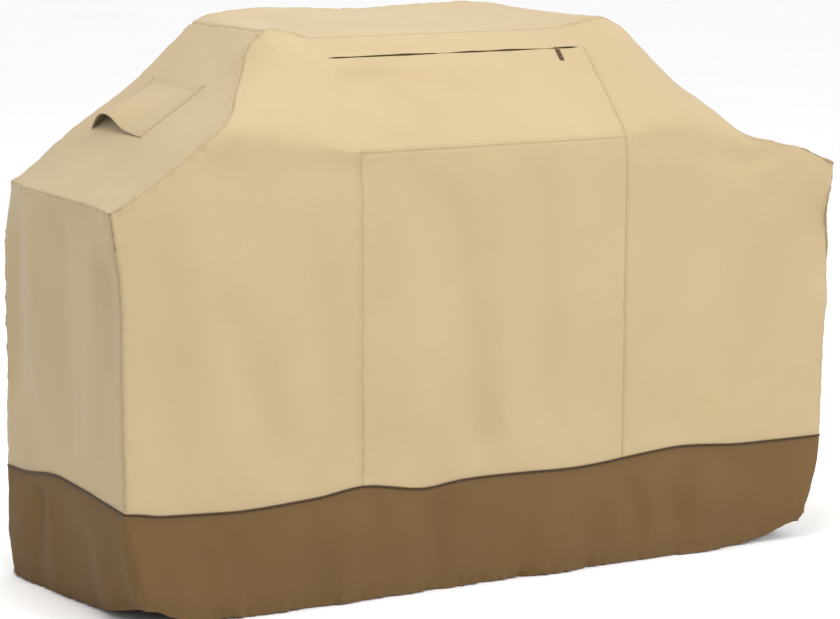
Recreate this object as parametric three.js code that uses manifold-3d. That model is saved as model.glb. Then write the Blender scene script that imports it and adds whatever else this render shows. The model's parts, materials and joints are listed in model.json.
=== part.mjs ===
// Fitted cover for a wide outdoor grill, in millimetres, +Z up, front towards -Y.
// The cover stands on its hem, centred on the origin. Every sewn panel is a thin slab of its own,
// and neighbouring panels keep a small gap along their seams.
import * as THREE from 'three';
import { mergeVertices } from 'three/addons/utils/BufferGeometryUtils.js';
import Module from 'manifold-3d';

const wasm = await Module();
wasm.setup();

// ---- driving dimensions -------------------------------------------------------------------
const CLOTH = 3;              // thickness of a panel
const GAP = 0.25;             // how far each panel stops short of a seam
const HALF_LENGTH = 889;      // at the shelf corner, the widest place
const HALF_LENGTH_PIPING = 884;
const HALF_LENGTH_HEM = 856;
const HALF_DEPTH = 320;       // front wall, above the skirt
const HALF_DEPTH_PIPING = 318;
const HALF_DEPTH_HEM = 308;
const BACK_TOP_Y = 305;       // back wall at its top edge
const SKIRT_HEIGHT = 249;
const CENTRE_HALF = 330;      // half width of the centre panels
const CREASE_Z = 966;         // where the centre front bends back into the hood
const FOLD_END_X = 640;       // the bend dies out here, at the shoulder seam
const FOLD_END_Z = 1039;
const EDGE_ROLL = 12;
const SLOT_Y = -138;          // line of the zip
const SLOT_Z = 1152;
const TOP_SPLIT_X = 425;      // seam between the top and each shoulder

// Seam along which the front meets the top and the shoulder: [x, y, z] from the middle outwards.
const FRONT_SEAM = [
  [0, -75, 1190], [330, -75, 1190], [413, -78, 1222], [470, -82, 1166], [540, -150, 1102],
  [600, -262, 1058], [640, -308, 1039], [697, -312, 998], [805, -316, 922], [863, -318, 886],
  [889, -320, 878],
];
// Top edge of the back wall: [x, z] from the middle outwards.
const BACK_EDGE = [
  [0, 1223], [251, 1234], [382, 1225], [427, 1206], [501, 1135], [576, 1072], [697, 998],
  [805, 922], [863, 886], [889, 878],
];
const SIDE_COLUMNS = [330, 382, 413, 425, 470, 501, 540, 576, 600, 640, 697, 757, 805, 863, 889];

// Places along a section of the cover, from the front hem over the top to the back hem.
const HEM_FRONT = 0;
const PIPING_FRONT = 1;
const CREASE = 2;
const SLOT = 3;
const SEAM = 4;
const BACK_RIM = 5;
const PIPING_BACK = 6;
const HEM_BACK = 7;

const group = new THREE.Group();

// ---- materials ----------------------------------------------------------------------------
const FINISHES = {
  cloth_pale: [0xd8c49a, 0.85, 0],
  cloth_dark: [0x7d6244, 0.85, 0],
  piping: [0x4f3b22, 0.7, 0],
  mesh: [0x8a7c60, 0.9, 0],
  lining: [0xcdbb95, 0.8, 0],
  zip_tape: [0x5d4a33, 0.8, 0],
  zip_metal: [0x6b5233, 0.4, 0.8],
  pull: [0x5b3d22, 0.5, 0],
  elastic: [0x2b2622, 0.8, 0],
  webbing: [0x2b2724, 0.8, 0],
  plastic: [0x1d1b1a, 0.4, 0],
  steel: [0xb8b8bc, 0.35, 1],
};

function addPart(name, geometry, finish, parent = group) {
  const [color, roughness, metalness] = FINISHES[finish];
  const material = new THREE.MeshStandardMaterial({ color, roughness, metalness });
  const mesh = new THREE.Mesh(geometry, material);
  mesh.name = name;
  parent.add(mesh);
  return mesh;
}

// ---- mesh helpers -------------------------------------------------------------------------
function lerp(a, b, t) {
  return a + (b - a) * t;
}

function closedGeometry(points, triangles) {
  let volume = 0;
  for (const [a, b, c] of triangles) {
    volume += points[a].dot(new THREE.Vector3().crossVectors(points[b], points[c]));
  }
  const facing = volume < 0 ? ([a, b, c]) => [a, c, b] : (triangle) => triangle;
  const geometry = new THREE.BufferGeometry();
  geometry.setFromPoints(points);
  geometry.setIndex(triangles.map(facing).flat());
  geometry.computeVertexNormals();
  return geometry;
}

// A closed slab between two grids of points, outer and inner, of the same size.
function slab(outer, inner) {
  const rows = outer.length;
  const columns = outer[0].length;
  const points = [...outer.flat(), ...inner.flat()];
  const at = (layer, i, j) => (layer * rows + i) * columns + j;
  const triangles = [];
  const quad = (a, b, c, d) => triangles.push([a, b, c], [a, c, d]);
  for (let i = 0; i < rows - 1; i++) {
    for (let j = 0; j < columns - 1; j++) {
      quad(at(0, i, j), at(0, i, j + 1), at(0, i + 1, j + 1), at(0, i + 1, j));
      quad(at(1, i, j), at(1, i + 1, j), at(1, i + 1, j + 1), at(1, i, j + 1));
    }
  }
  const rim = [];
  for (let j = 0; j < columns - 1; j++) rim.push([0, j]);
  for (let i = 0; i < rows - 1; i++) rim.push([i, columns - 1]);
  for (let j = columns - 1; j > 0; j--) rim.push([rows - 1, j]);
  for (let i = rows - 1; i > 0; i--) rim.push([i, 0]);
  rim.forEach(([i, j], k) => {
    const [i2, j2] = rim[(k + 1) % rim.length];
    quad(at(0, i2, j2), at(0, i, j), at(1, i, j), at(1, i2, j2));
  });
  return closedGeometry(points, triangles);
}

// A ring of constant round section along a closed loop of points.
function loopTube(path, radius, sides) {
  const points = [];
  const triangles = [];
  const count = path.length;
  path.forEach((centre, k) => {
    const ahead = path[(k + 1) % count].clone().sub(path[(k + count - 1) % count]).normalize();
    const out = new THREE.Vector3(ahead.y, -ahead.x, 0).normalize();
    const up = new THREE.Vector3().crossVectors(out, ahead);
    for (let s = 0; s < sides; s++) {
      const turn = (s / sides) * 2 * Math.PI;
      const offset = out.clone().multiplyScalar(Math.cos(turn) * radius);
      offset.addScaledVector(up, Math.sin(turn) * radius);
      points.push(centre.clone().add(offset));
    }
  });
  for (let k = 0; k < count; k++) {
    for (let s = 0; s < sides; s++) {
      const a = k * sides + s;
      const b = k * sides + ((s + 1) % sides);
      const c = ((k + 1) % count) * sides + ((s + 1) % sides);
      const d = ((k + 1) % count) * sides + s;
      triangles.push([a, b, c], [a, c, d]);
    }
  }
  return closedGeometry(points, triangles);
}

// A rectangle with rounded corners, walked once round at height z.
function roundedLoop(halfX, halfY, radius, z) {
  const corners = [[1, 1, 0], [-1, 1, 90], [-1, -1, 180], [1, -1, 270]];
  const steps = 5;
  const path = [];
  for (const [signX, signY, start] of corners) {
    for (let k = 0; k <= steps; k++) {
      const turn = THREE.MathUtils.degToRad(start + (90 * k) / steps);
      const x = signX * (halfX - radius) + Math.cos(turn) * radius;
      const y = signY * (halfY - radius) + Math.sin(turn) * radius;
      path.push(new THREE.Vector3(x, y, z));
    }
  }
  return path;
}

function boxBetween(low, high) {
  const size = low.map((value, k) => high[k] - value);
  const geometry = new THREE.BoxGeometry(...size);
  geometry.translate(...low.map((value, k) => (value + high[k]) / 2));
  return geometry;
}

function cylinderAlong(axis, radius, from, to, sides = 24) {
  const geometry = new THREE.CylinderGeometry(radius, radius, to - from, sides);
  geometry.translate(0, (from + to) / 2, 0);
  if (axis === 'z') geometry.rotateX(Math.PI / 2);
  if (axis === 'x') geometry.rotateZ(-Math.PI / 2);
  return geometry;
}

function toSolid(geometry) {
  const bare = geometry.clone();
  bare.deleteAttribute('normal');
  bare.deleteAttribute('uv');
  const merged = mergeVertices(bare, 1e-4);
  const vertProperties = new Float32Array(merged.attributes.position.array);
  const triVerts = new Uint32Array(merged.index.array);
  return new wasm.Manifold(new wasm.Mesh({ numProp: 3, vertProperties, triVerts }));
}

function toGeometry(solid) {
  const mesh = solid.getMesh();
  const geometry = new THREE.BufferGeometry();
  geometry.setAttribute('position', new THREE.BufferAttribute(mesh.vertProperties, 3));
  geometry.setIndex(new THREE.BufferAttribute(mesh.triVerts, 1));
  geometry.computeVertexNormals();
  return geometry;
}

function join(...geometries) {
  return toGeometry(geometries.map(toSolid).reduce((sum, next) => sum.add(next)));
}

function cut(base, ...tools) {
  return toGeometry(tools.map(toSolid).reduce((rest, tool) => rest.subtract(tool), toSolid(base)));
}

// ---- the cover's surface ------------------------------------------------------------------
// Straight-line interpolation in a table whose first column is x; returns the other columns.
function tableAt(table, x) {
  const last = table.length - 1;
  const k = Math.min(Math.max(table.findIndex((row) => row[0] >= x), 1), last);
  const t = (x - table[k - 1][0]) / (table[k][0] - table[k - 1][0]);
  return table[k].slice(1).map((value, c) => lerp(table[k - 1][c + 1], value, t));
}

// The cover's half length at a height: the skirt leans in towards the gathered hem.
function halfLengthAt(z) {
  if (z <= SKIRT_HEIGHT) return lerp(HALF_LENGTH_HEM, HALF_LENGTH_PIPING, z / SKIRT_HEIGHT);
  const shelfZ = FRONT_SEAM.at(-1)[2];
  const t = Math.min((z - SKIRT_HEIGHT) / (shelfZ - SKIRT_HEIGHT), 1);
  return lerp(HALF_LENGTH_PIPING, HALF_LENGTH, t);
}

// The outline [y, z] of the cover where it is cut across at x.
function sectionOutline(x) {
  const away = Math.abs(x);
  const [seamY, seamZ] = tableAt(FRONT_SEAM, away);
  const [rimZ] = tableAt(BACK_EDGE, away);
  const t = THREE.MathUtils.clamp((away - CENTRE_HALF) / (FOLD_END_X - CENTRE_HALF), 0, 1);
  const creaseZ = Math.min(lerp(CREASE_Z, FOLD_END_Z, t), seamZ - EDGE_ROLL);
  const share = (SLOT_Y + HALF_DEPTH) / (FRONT_SEAM[0][1] + HALF_DEPTH);
  const crown = (SLOT_Z - lerp(CREASE_Z, FRONT_SEAM[0][2], share)) * (1 - t);
  return [
    [-HALF_DEPTH_HEM, 0],
    [-HALF_DEPTH_PIPING, SKIRT_HEIGHT],
    [-HALF_DEPTH, creaseZ],
    [lerp(-HALF_DEPTH, seamY, share), lerp(creaseZ, seamZ, share) + crown],
    [seamY, seamZ],
    [BACK_TOP_Y, rimZ],
    [HALF_DEPTH_PIPING, SKIRT_HEIGHT],
    [HALF_DEPTH_HEM, 0],
  ];
}

// The same outline moved inwards by a distance, with mitred corners.
function insetOutline(outline, distance) {
  const normals = outline.slice(1).map(([y, z], k) => {
    const dy = y - outline[k][0];
    const dz = z - outline[k][1];
    const length = Math.hypot(dy, dz);
    return [dz / length, -dy / length];
  });
  return outline.map(([y, z], k) => {
    if (k === HEM_FRONT) return [y + distance, z];
    if (k === HEM_BACK) return [y - distance, z];
    const [a, b] = [normals[k - 1], normals[k]];
    const scale = distance / (1 + a[0] * b[0] + a[1] * b[1]);
    return [y + (a[0] + b[0]) * scale, z + (a[1] + b[1]) * scale];
  });
}

// A point of the cover at x and at a place along the section, moved inwards by a distance.
function surfacePoint(x, place, inset) {
  const line = insetOutline(sectionOutline(x), inset);
  const k = Math.min(Math.floor(place), line.length - 2);
  const y = lerp(line[k][0], line[k + 1][0], place - k);
  const z = lerp(line[k][1], line[k + 1][1], place - k);
  const leanX = halfLengthAt(z) / HALF_LENGTH;
  return new THREE.Vector3(x * leanX * (1 - inset / HALF_LENGTH), y, z);
}

function segmentLength(x, k) {
  const line = sectionOutline(x);
  return Math.hypot(line[k + 1][0] - line[k][0], line[k + 1][1] - line[k][1]);
}

// A panel between two x values and two places along the section. The trims say how far it stops
// short of its first and last place, and outside and inside are its two faces' insets.
function panel(columns, from, to, options = {}) {
  const { trimFrom = GAP, trimTo = GAP, outside = 0, inside = CLOTH } = options;
  const direction = Math.sign(columns.at(-1) - columns[0]);
  const xs = [...columns];
  xs[0] += GAP * direction;
  xs[xs.length - 1] -= GAP * direction;
  const face = (inset) => xs.map((x) => {
    const places = [from + trimFrom / segmentLength(x, from)];
    for (let k = from + 1; k < to; k++) places.push(k);
    places.push(to - trimTo / segmentLength(x, to - 1));
    return places.map((place) => surfacePoint(x, place, inset));
  });
  return slab(face(outside), face(inside));
}

// A panel across an end of the cover, between two pairs of places on the end's section.
function endPanel(side, frontLow, frontHigh, backHigh, backLow) {
  const face = (inset) => {
    const at = (place) => surfacePoint(side * HALF_LENGTH, place, inset);
    const corners = [[at(frontLow), at(backLow)], [at(frontHigh), at(backHigh)]];
    return corners.map(([front, back], row) => {
      const rise = row === 0 ? GAP : -GAP;
      const lift = frontLow === HEM_FRONT && row === 0 ? 0 : rise;
      return [
        new THREE.Vector3(front.x, front.y + GAP, front.z + lift),
        new THREE.Vector3(back.x, back.y - GAP, back.z + lift),
      ];
    });
  };
  return slab(face(0), face(CLOTH));
}

const CENTRE_COLUMNS = [-CENTRE_HALF, CENTRE_HALF];
const LENGTH_COLUMNS = [-HALF_LENGTH, HALF_LENGTH];
const mirrored = (columns) => columns.map((x) => -x);
const HALF_TOP_COLUMNS = [251, CENTRE_HALF, 382, 413, TOP_SPLIT_X];
const TOP_COLUMNS = [...mirrored(HALF_TOP_COLUMNS).reverse(), 0, ...HALF_TOP_COLUMNS];
const shoulderColumns = SIDE_COLUMNS.filter((x) => x >= TOP_SPLIT_X);
const SIDES = [['left', -1], ['right', 1]];

// ---- vents --------------------------------------------------------------------------------
const VENT = { columns: [560, 576, 600, 640, 668, 697, 706], fromY: -35, toY: 220, rise: 38 };
const VENT_LIFT = 1.8;        // the hood's edges sit this far above the shoulder
const VENT_HOLE = { lowX: 585, highX: 665, fromY: 10, toY: 175 };
const VENT_MESH = { columns: [571, 576, 600, 640, 679], overlap: 14, drop: 6, thick: 1.2 };

// A point of the shoulder's outer face, raised straight up by dz.
function shoulderPoint(x, y, dz) {
  const outline = sectionOutline(x);
  const t = (y - outline[SEAM][0]) / (outline[BACK_RIM][0] - outline[SEAM][0]);
  return new THREE.Vector3(x, y, lerp(outline[SEAM][1], outline[BACK_RIM][1], t) + dz);
}

function steps(from, to, count) {
  return Array.from({ length: count + 1 }, (_, k) => lerp(from, to, k / count));
}

function patch(side, xs, ys, outsideAt, insideAt) {
  const face = (raise) => xs.map((x) => ys.map((y) => shoulderPoint(side * x, y, raise(x, y))));
  return slab(face(outsideAt), face(insideAt));
}

// The hood over a vent: high at its mouth, which faces down the slope, and flat at its top edge.
function ventHood(side) {
  const ys = steps(VENT.fromY, VENT.toY, 8);
  const topX = VENT.columns[0];
  const rise = (x, y) => {
    const down = (x - topX) / (VENT.columns.at(-1) - topX);
    const across = (2 * (y - VENT.fromY)) / (VENT.toY - VENT.fromY) - 1;
    return VENT_LIFT + VENT.rise * down * (1 - across ** 2) ** 0.6;
  };
  return patch(side, VENT.columns, ys, (x, y) => rise(x, y) + CLOTH, rise);
}

function ventMesh(side) {
  const { columns, overlap, drop, thick } = VENT_MESH;
  const ys = [VENT_HOLE.fromY - overlap, VENT_HOLE.toY + overlap];
  return patch(side, columns, ys, () => -drop, () => -drop - thick);
}

function shoulderPanel(side) {
  const columns = shoulderColumns.map((x) => side * x);
  const hole = boxBetween([VENT_HOLE.lowX, VENT_HOLE.fromY, SLOT_Z - 250],
    [VENT_HOLE.highX, VENT_HOLE.toY, SLOT_Z + 50]);
  if (side < 0) hole.translate(-VENT_HOLE.lowX - VENT_HOLE.highX, 0, 0);
  return cut(panel(columns, SEAM, BACK_RIM), hole);
}

// ---- sewn panels --------------------------------------------------------------------------
addPart('front_centre_panel', panel(CENTRE_COLUMNS, PIPING_FRONT, CREASE), 'cloth_pale');
for (const [word, side] of SIDES) {
  const columns = side > 0 ? SIDE_COLUMNS : mirrored(SIDE_COLUMNS);
  addPart(`front_${word}_panel`, panel(columns, PIPING_FRONT, SEAM), 'cloth_pale');
  addPart(`back_${word}_panel`, panel(columns, BACK_RIM, PIPING_BACK), 'cloth_pale');
  addPart(`shoulder_${word}_panel`, shoulderPanel(side), 'cloth_pale');
  const end = endPanel(side, PIPING_FRONT, SEAM, BACK_RIM, PIPING_BACK);
  addPart(`end_${word}_panel`, end, 'cloth_pale');
  addPart(`vent_hood_${word}`, ventHood(side), 'cloth_pale');
  addPart(`vent_mesh_${word}`, ventMesh(side), 'mesh');
  const skirt = endPanel(side, HEM_FRONT, PIPING_FRONT, PIPING_BACK, HEM_BACK);
  addPart(`skirt_${word}_panel`, skirt, 'cloth_dark');
}
addPart('top_panel', panel(TOP_COLUMNS, SEAM, BACK_RIM), 'cloth_pale');
const backCentreColumns = TOP_COLUMNS.filter((x) => Math.abs(x) <= CENTRE_HALF);
addPart('back_centre_panel', panel(backCentreColumns, BACK_RIM, PIPING_BACK), 'cloth_pale');

// ---- zip in the hood ----------------------------------------------------------------------
const ZIP_LIP = 6;            // the hood panel stops this far below the zip's line
const FLAP_CLOTH = 2;
const BAND_TOP = 2.4;         // depth of the inner band under the flap
const BAND_CLOTH = 2;
const ZIP_LEAN = THREE.MathUtils.degToRad(38);
const TAPE = { low: -7.4, high: -6.6, reach: 14, half: 318 };
const COIL = { low: -6.4, high: -4.4, near: 0.2, far: 2.5, left: -306, right: 268 };
const SLIDER = { x: 260, halfX: 5.5, halfY: 5, plateLow: -4.1, plateHigh: -2.9, wall: 2.0 };
const BRIDGE = { z: 1.4, radius: 0.8, halfX: 3.6, post: 1.2 };
const PULL = { eye: 2.2, hole: 1.2, halfX: 1.1, start: 5.5, end: 37, halfWidth: 5.5, thick: 1.6 };

addPart('hood_front_panel', panel(CENTRE_COLUMNS, CREASE, SLOT, { trimTo: ZIP_LIP }), 'cloth_pale');
addPart('hood_upper_band', panel(CENTRE_COLUMNS, SLOT, SEAM,
  { trimFrom: ZIP_LIP, trimTo: CLOTH, outside: BAND_TOP, inside: BAND_TOP + BAND_CLOTH }), 'lining');
addPart('zip_flap', panel(CENTRE_COLUMNS, SLOT, SEAM,
  { trimFrom: 3.5, outside: 0, inside: FLAP_CLOTH }), 'cloth_pale');

// The zip's own frame: x along it, y up the slope, z out of the cloth.
const zip = new THREE.Group();
zip.position.set(0, SLOT_Y, SLOT_Z);
zip.rotation.x = ZIP_LEAN;
group.add(zip);

for (const [word, sign] of [['lower', -1], ['upper', 1]]) {
  const near = sign * 0.3;
  const far = sign * TAPE.reach;
  const tape = boxBetween([-TAPE.half, Math.min(near, far), TAPE.low],
    [TAPE.half, Math.max(near, far), TAPE.high]);
  addPart(`zip_tape_${word}`, tape, 'zip_tape', zip);
  const inner = sign * COIL.near;
  const outer = sign * COIL.far;
  const coil = boxBetween([COIL.left, Math.min(inner, outer), COIL.low],
    [COIL.right, Math.max(inner, outer), COIL.high]);
  addPart(`zip_coil_${word}`, coil, 'zip_metal', zip);
}
for (const [word, x] of [['left', COIL.left - 2.5], ['right', COIL.right + 2.5]]) {
  addPart(`zip_stop_${word}`, boxBetween([x - 2, -3, COIL.low], [x + 2, 3, COIL.high]),
    'zip_metal', zip);
}

function sliderGeometry() {
  const { halfX, halfY, plateLow, plateHigh, wall } = SLIDER;
  const plate = boxBetween([-halfX, -halfY, plateLow], [halfX, halfY, plateHigh]);
  const walls = [-1, 1].map((sign) => {
    const y = sign * (halfY - wall / 2);
    return boxBetween([-halfX, y - wall / 2, COIL.low], [halfX, y + wall / 2, plateLow + 0.2]);
  });
  const posts = [-1, 1].map((sign) => {
    const x = sign * (BRIDGE.halfX - BRIDGE.post / 2);
    const low = [x - BRIDGE.post / 2, -BRIDGE.radius, plateHigh - 0.2];
    return boxBetween(low, [x + BRIDGE.post / 2, BRIDGE.radius, BRIDGE.z + BRIDGE.radius]);
  });
  const bar = cylinderAlong('x', BRIDGE.radius - 0.05, -BRIDGE.halfX + 0.3, BRIDGE.halfX - 0.3, 16);
  bar.translate(0, 0, BRIDGE.z);
  return join(plate, ...walls, ...posts, bar);
}

const slider = new THREE.Group();
slider.position.x = SLIDER.x;
zip.add(slider);
addPart('zip_slider', sliderGeometry(), 'zip_metal', slider);

// The pull hangs down the slope from the bridge, parallel to the hood panel under it.
const hoodLean = Math.atan2(SLOT_Z - CREASE_Z, SLOT_Y + HALF_DEPTH);
const pull = new THREE.Group();
pull.position.z = BRIDGE.z;
pull.rotation.x = hoodLean - ZIP_LEAN;
slider.add(pull);

function pullLink() {
  const eye = cylinderAlong('x', PULL.eye, -PULL.halfX, PULL.halfX, 20);
  const shank = boxBetween([-PULL.halfX, -PULL.start + 0.3, -0.8], [PULL.halfX, -PULL.eye / 2, 0.8]);
  const hole = cylinderAlong('x', PULL.hole, -PULL.halfX - 1, PULL.halfX + 1, 16);
  return cut(join(eye, shank), hole);
}

function roundedPlate(halfWidth, from, to, radius, thick) {
  const outline = new THREE.Shape();
  outline.moveTo(-halfWidth, -from);
  outline.lineTo(halfWidth, -from);
  outline.lineTo(halfWidth, -to + radius);
  outline.absarc(halfWidth - radius, -to + radius, radius, 0, -Math.PI / 2, true);
  outline.absarc(-halfWidth + radius, -to + radius, radius, -Math.PI / 2, -Math.PI, true);
  const geometry = new THREE.ExtrudeGeometry(outline,
    { depth: thick, bevelEnabled: false, curveSegments: 6 });
  geometry.translate(0, 0, -thick / 2);
  return geometry;
}

addPart('zip_pull_link', pullLink(), 'zip_metal', pull);
addPart('zip_pull_tab', roundedPlate(PULL.halfWidth, PULL.start, PULL.end, 2.5, PULL.thick),
  'pull', pull);

// Flat storage pocket hanging inside, behind the zip.
const POCKET = { halfX: 300, frontY: -142, backY: -112, lowZ: 926, highZ: 1135, cloth: 2 };
const pocketOuter = boxBetween([-POCKET.halfX, POCKET.frontY, POCKET.lowZ],
  [POCKET.halfX, POCKET.backY, POCKET.highZ]);
const pocketInner = boxBetween(
  [-POCKET.halfX + POCKET.cloth, POCKET.frontY + POCKET.cloth, POCKET.lowZ + POCKET.cloth],
  [POCKET.halfX - POCKET.cloth, POCKET.backY - POCKET.cloth, POCKET.highZ + 10]);
addPart('pocket_bag', cut(pocketOuter, pocketInner), 'lining');

// ---- skirt, piping and gathered hem -------------------------------------------------------
const PIPING_RADIUS = 2.4;
const HEM_CASING = { near: 3.4, far: 10.4, leaf: 2, height: 24 };
const ELASTIC = { radius: 2, z: 13.3, inset: 5.2, corner: 3 };
const EYELET = {
  xs: [-52, -66], hole: 3.4, barrel: 3.1, bore: 1.7, flange: 5.4, reach: 5,
};

const hemTrim = { trimFrom: 0, trimTo: GAP };
addPart('skirt_front_panel', panel(LENGTH_COLUMNS, HEM_FRONT, PIPING_FRONT, hemTrim), 'cloth_dark');
const plainBack = panel(LENGTH_COLUMNS, PIPING_BACK, HEM_BACK, { trimFrom: GAP, trimTo: 0 });
const eyeletHoles = EYELET.xs.map((x) => {
  const hole = cylinderAlong('y', EYELET.hole, HALF_DEPTH_HEM - 18, HALF_DEPTH_PIPING + 12, 20);
  hole.translate(x, 0, ELASTIC.z);
  return hole;
});
addPart('skirt_back_panel', cut(plainBack, ...eyeletHoles), 'cloth_dark');

const pipingOut = PIPING_RADIUS + 0.3;
const pipingPath = roundedLoop(HALF_LENGTH_PIPING + pipingOut, HALF_DEPTH_PIPING + pipingOut,
  pipingOut + 0.4, SKIRT_HEIGHT);
addPart('skirt_piping', loopTube(pipingPath, PIPING_RADIUS, 8), 'piping');

// One straight length of the folded hem, L-shaped in section, with mitred ends.
function hemCasing(halfAlong, halfAcross) {
  const { near, far, leaf, height } = HEM_CASING;
  const profile = [[near, 0], [far, 0], [far, height], [far - leaf, height], [far - leaf, leaf],
    [near, leaf]];
  const points = [];
  for (const sign of [-1, 1]) {
    for (const [inset, z] of profile) {
      points.push(new THREE.Vector3(sign * (halfAlong - inset - GAP), inset - halfAcross, z));
    }
  }
  const count = profile.length;
  const flat = profile.map(([inset, z]) => new THREE.Vector2(inset, z));
  const cap = THREE.ShapeUtils.triangulateShape(flat, []);
  const triangles = cap.map(([a, b, c]) => [a, c, b]);
  for (const [a, b, c] of cap) triangles.push([a + count, b + count, c + count]);
  for (let k = 0; k < count; k++) {
    const next = (k + 1) % count;
    triangles.push([k, next, next + count], [k, next + count, k + count]);
  }
  return closedGeometry(points, triangles);
}

const casings = [
  ['front', HALF_LENGTH_HEM, HALF_DEPTH_HEM, 0], ['back', HALF_LENGTH_HEM, HALF_DEPTH_HEM, 180],
  ['left', HALF_DEPTH_HEM, HALF_LENGTH_HEM, -90], ['right', HALF_DEPTH_HEM, HALF_LENGTH_HEM, 90],
];
for (const [word, along, across, degrees] of casings) {
  const casing = hemCasing(along, across);
  casing.rotateZ(THREE.MathUtils.degToRad(degrees));
  addPart(`hem_casing_${word}`, casing, 'cloth_dark');
}

const elasticPath = roundedLoop(HALF_LENGTH_HEM - ELASTIC.inset, HALF_DEPTH_HEM - ELASTIC.inset,
  ELASTIC.corner, ELASTIC.z);
addPart('hem_elastic', loopTube(elasticPath, ELASTIC.radius, 8), 'elastic');

// ---- drawcord and cord lock at the middle of the back hem ---------------------------------
const hemBackY = lerp(HALF_DEPTH_HEM, HALF_DEPTH_PIPING, ELASTIC.z / SKIRT_HEIGHT);
const LOCK = {
  y: 314.8, halfX: 8, halfY: 5.3, low: 1.5, high: 21, boreLow: 3, bore: 4.35, plunger: 4.05,
  head: 5.0, headLow: 24, headHigh: 27, plungerLow: 9, slotHalfY: 2.5, slotLow: 9.4, slotHigh: 14.6,
  travel: 2.6,
};
const CORD = { radius: 1.1, apart: 1.25, z: 13.3, end: 71.5 };

function eyelet(x) {
  const flange = cylinderAlong('y', EYELET.flange, hemBackY + 0.6, hemBackY + 1.3, 24);
  const barrel = cylinderAlong('y', EYELET.barrel, hemBackY - CLOTH, hemBackY + 1.0, 24);
  const bore = cylinderAlong('y', EYELET.bore, hemBackY - EYELET.reach, hemBackY + EYELET.reach, 20);
  const ring = cut(join(flange, barrel), bore);
  ring.translate(x, 0, ELASTIC.z);
  return ring;
}

function lockBody() {
  const body = boxBetween([-LOCK.halfX, -LOCK.halfY, LOCK.low], [LOCK.halfX, LOCK.halfY, LOCK.high]);
  const bore = cylinderAlong('z', LOCK.bore, LOCK.boreLow, LOCK.high + 5, 32);
  const slot = boxBetween([-LOCK.halfX - 1, -LOCK.slotHalfY, LOCK.slotLow],
    [LOCK.halfX + 1, LOCK.slotHalfY, LOCK.slotHigh]);
  return cut(body, bore, slot);
}

function lockPlunger() {
  const stem = cylinderAlong('z', LOCK.plunger, LOCK.plungerLow, LOCK.headLow + 0.5, 32);
  const head = cylinderAlong('z', LOCK.head, LOCK.headLow, LOCK.headHigh, 32);
  const slot = boxBetween([-10, -LOCK.slotHalfY, LOCK.slotLow + LOCK.travel],
    [10, LOCK.slotHalfY, LOCK.slotHigh + LOCK.travel]);
  return cut(join(stem, head), slot);
}

class Helix extends THREE.Curve {
  constructor(radius, low, high, turns) {
    super();
    Object.assign(this, { radius, low, high, turns });
  }

  getPoint(t) {
    const turn = t * this.turns * 2 * Math.PI;
    const x = Math.cos(turn) * this.radius;
    return new THREE.Vector3(x, Math.sin(turn) * this.radius, lerp(this.low, this.high, t));
  }
}

function roundSection(radius, sides) {
  const section = new THREE.Shape();
  for (let k = 0; k < sides; k++) {
    const turn = (k / sides) * 2 * Math.PI;
    const [x, y] = [Math.cos(turn) * radius, Math.sin(turn) * radius];
    if (k === 0) section.moveTo(x, y);
    else section.lineTo(x, y);
  }
  return section;
}

function lockSpring() {
  const wire = 0.35;
  const path = new Helix(3.3, LOCK.boreLow + wire + 0.2, LOCK.plungerLow - wire - 0.2, 3);
  return new THREE.ExtrudeGeometry(roundSection(wire, 6), { steps: 42, extrudePath: path });
}

function cordStrand(startX, y) {
  const route = new THREE.CatmullRomCurve3([
    new THREE.Vector3(startX, hemBackY - CLOTH + 0.3, CORD.z),
    new THREE.Vector3(startX, hemBackY + 1.5, CORD.z),
    new THREE.Vector3(startX + 1.5, lerp(hemBackY, y, 0.75), CORD.z),
    new THREE.Vector3(startX + 6, y, CORD.z),
    new THREE.Vector3(startX + 12, y, CORD.z),
    new THREE.Vector3(0, y, CORD.z),
    new THREE.Vector3(CORD.end, y, CORD.z),
  ], false, 'centripetal');
  const section = roundSection(CORD.radius, 8);
  return new THREE.ExtrudeGeometry(section, { steps: 40, extrudePath: route });
}

addPart('eyelet_inner', eyelet(EYELET.xs[0]), 'steel');
addPart('eyelet_outer', eyelet(EYELET.xs[1]), 'steel');
const lock = new THREE.Group();
lock.position.y = LOCK.y;
group.add(lock);
addPart('cord_lock_body', lockBody(), 'plastic', lock);
addPart('cord_lock_plunger', lockPlunger(), 'plastic', lock);
addPart('cord_lock_spring', lockSpring(), 'steel', lock);
addPart('drawcord_inner', cordStrand(EYELET.xs[0], LOCK.y - CORD.apart), 'elastic');
addPart('drawcord_outer', cordStrand(EYELET.xs[1], LOCK.y + CORD.apart), 'elastic');
addPart('drawcord_tab', boxBetween([CORD.end + 0.4, hemBackY + 1.1, 5], [CORD.end + 20, 319, 22]),
  'webbing');

// ---- click-close straps hanging inside each end -------------------------------------------
// Each strap hangs from a pivot just inside the end wall, and each half of a buckle under its strap.
const STRAP = { z: 200, y: 90, pivot: 5.8, halfWidth: 12.5, thick: 1.6, length: 84, clearance: 0.6 };
const SOCKET = { halfY: 17, halfX: 5, length: 38, cavityHalfY: 13, cavityHalfX: 3, depth: 24 };
const PLUG = { halfY: 16, thick: 4, base: 15, prong: 22 };
const ANCHOR = { behind: 1.4, short: 0.5, halfY: 14, low: 1.4, high: 24 };
const skirtLean = Math.atan2(HALF_LENGTH_PIPING - HALF_LENGTH_HEM, SKIRT_HEIGHT);

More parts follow.
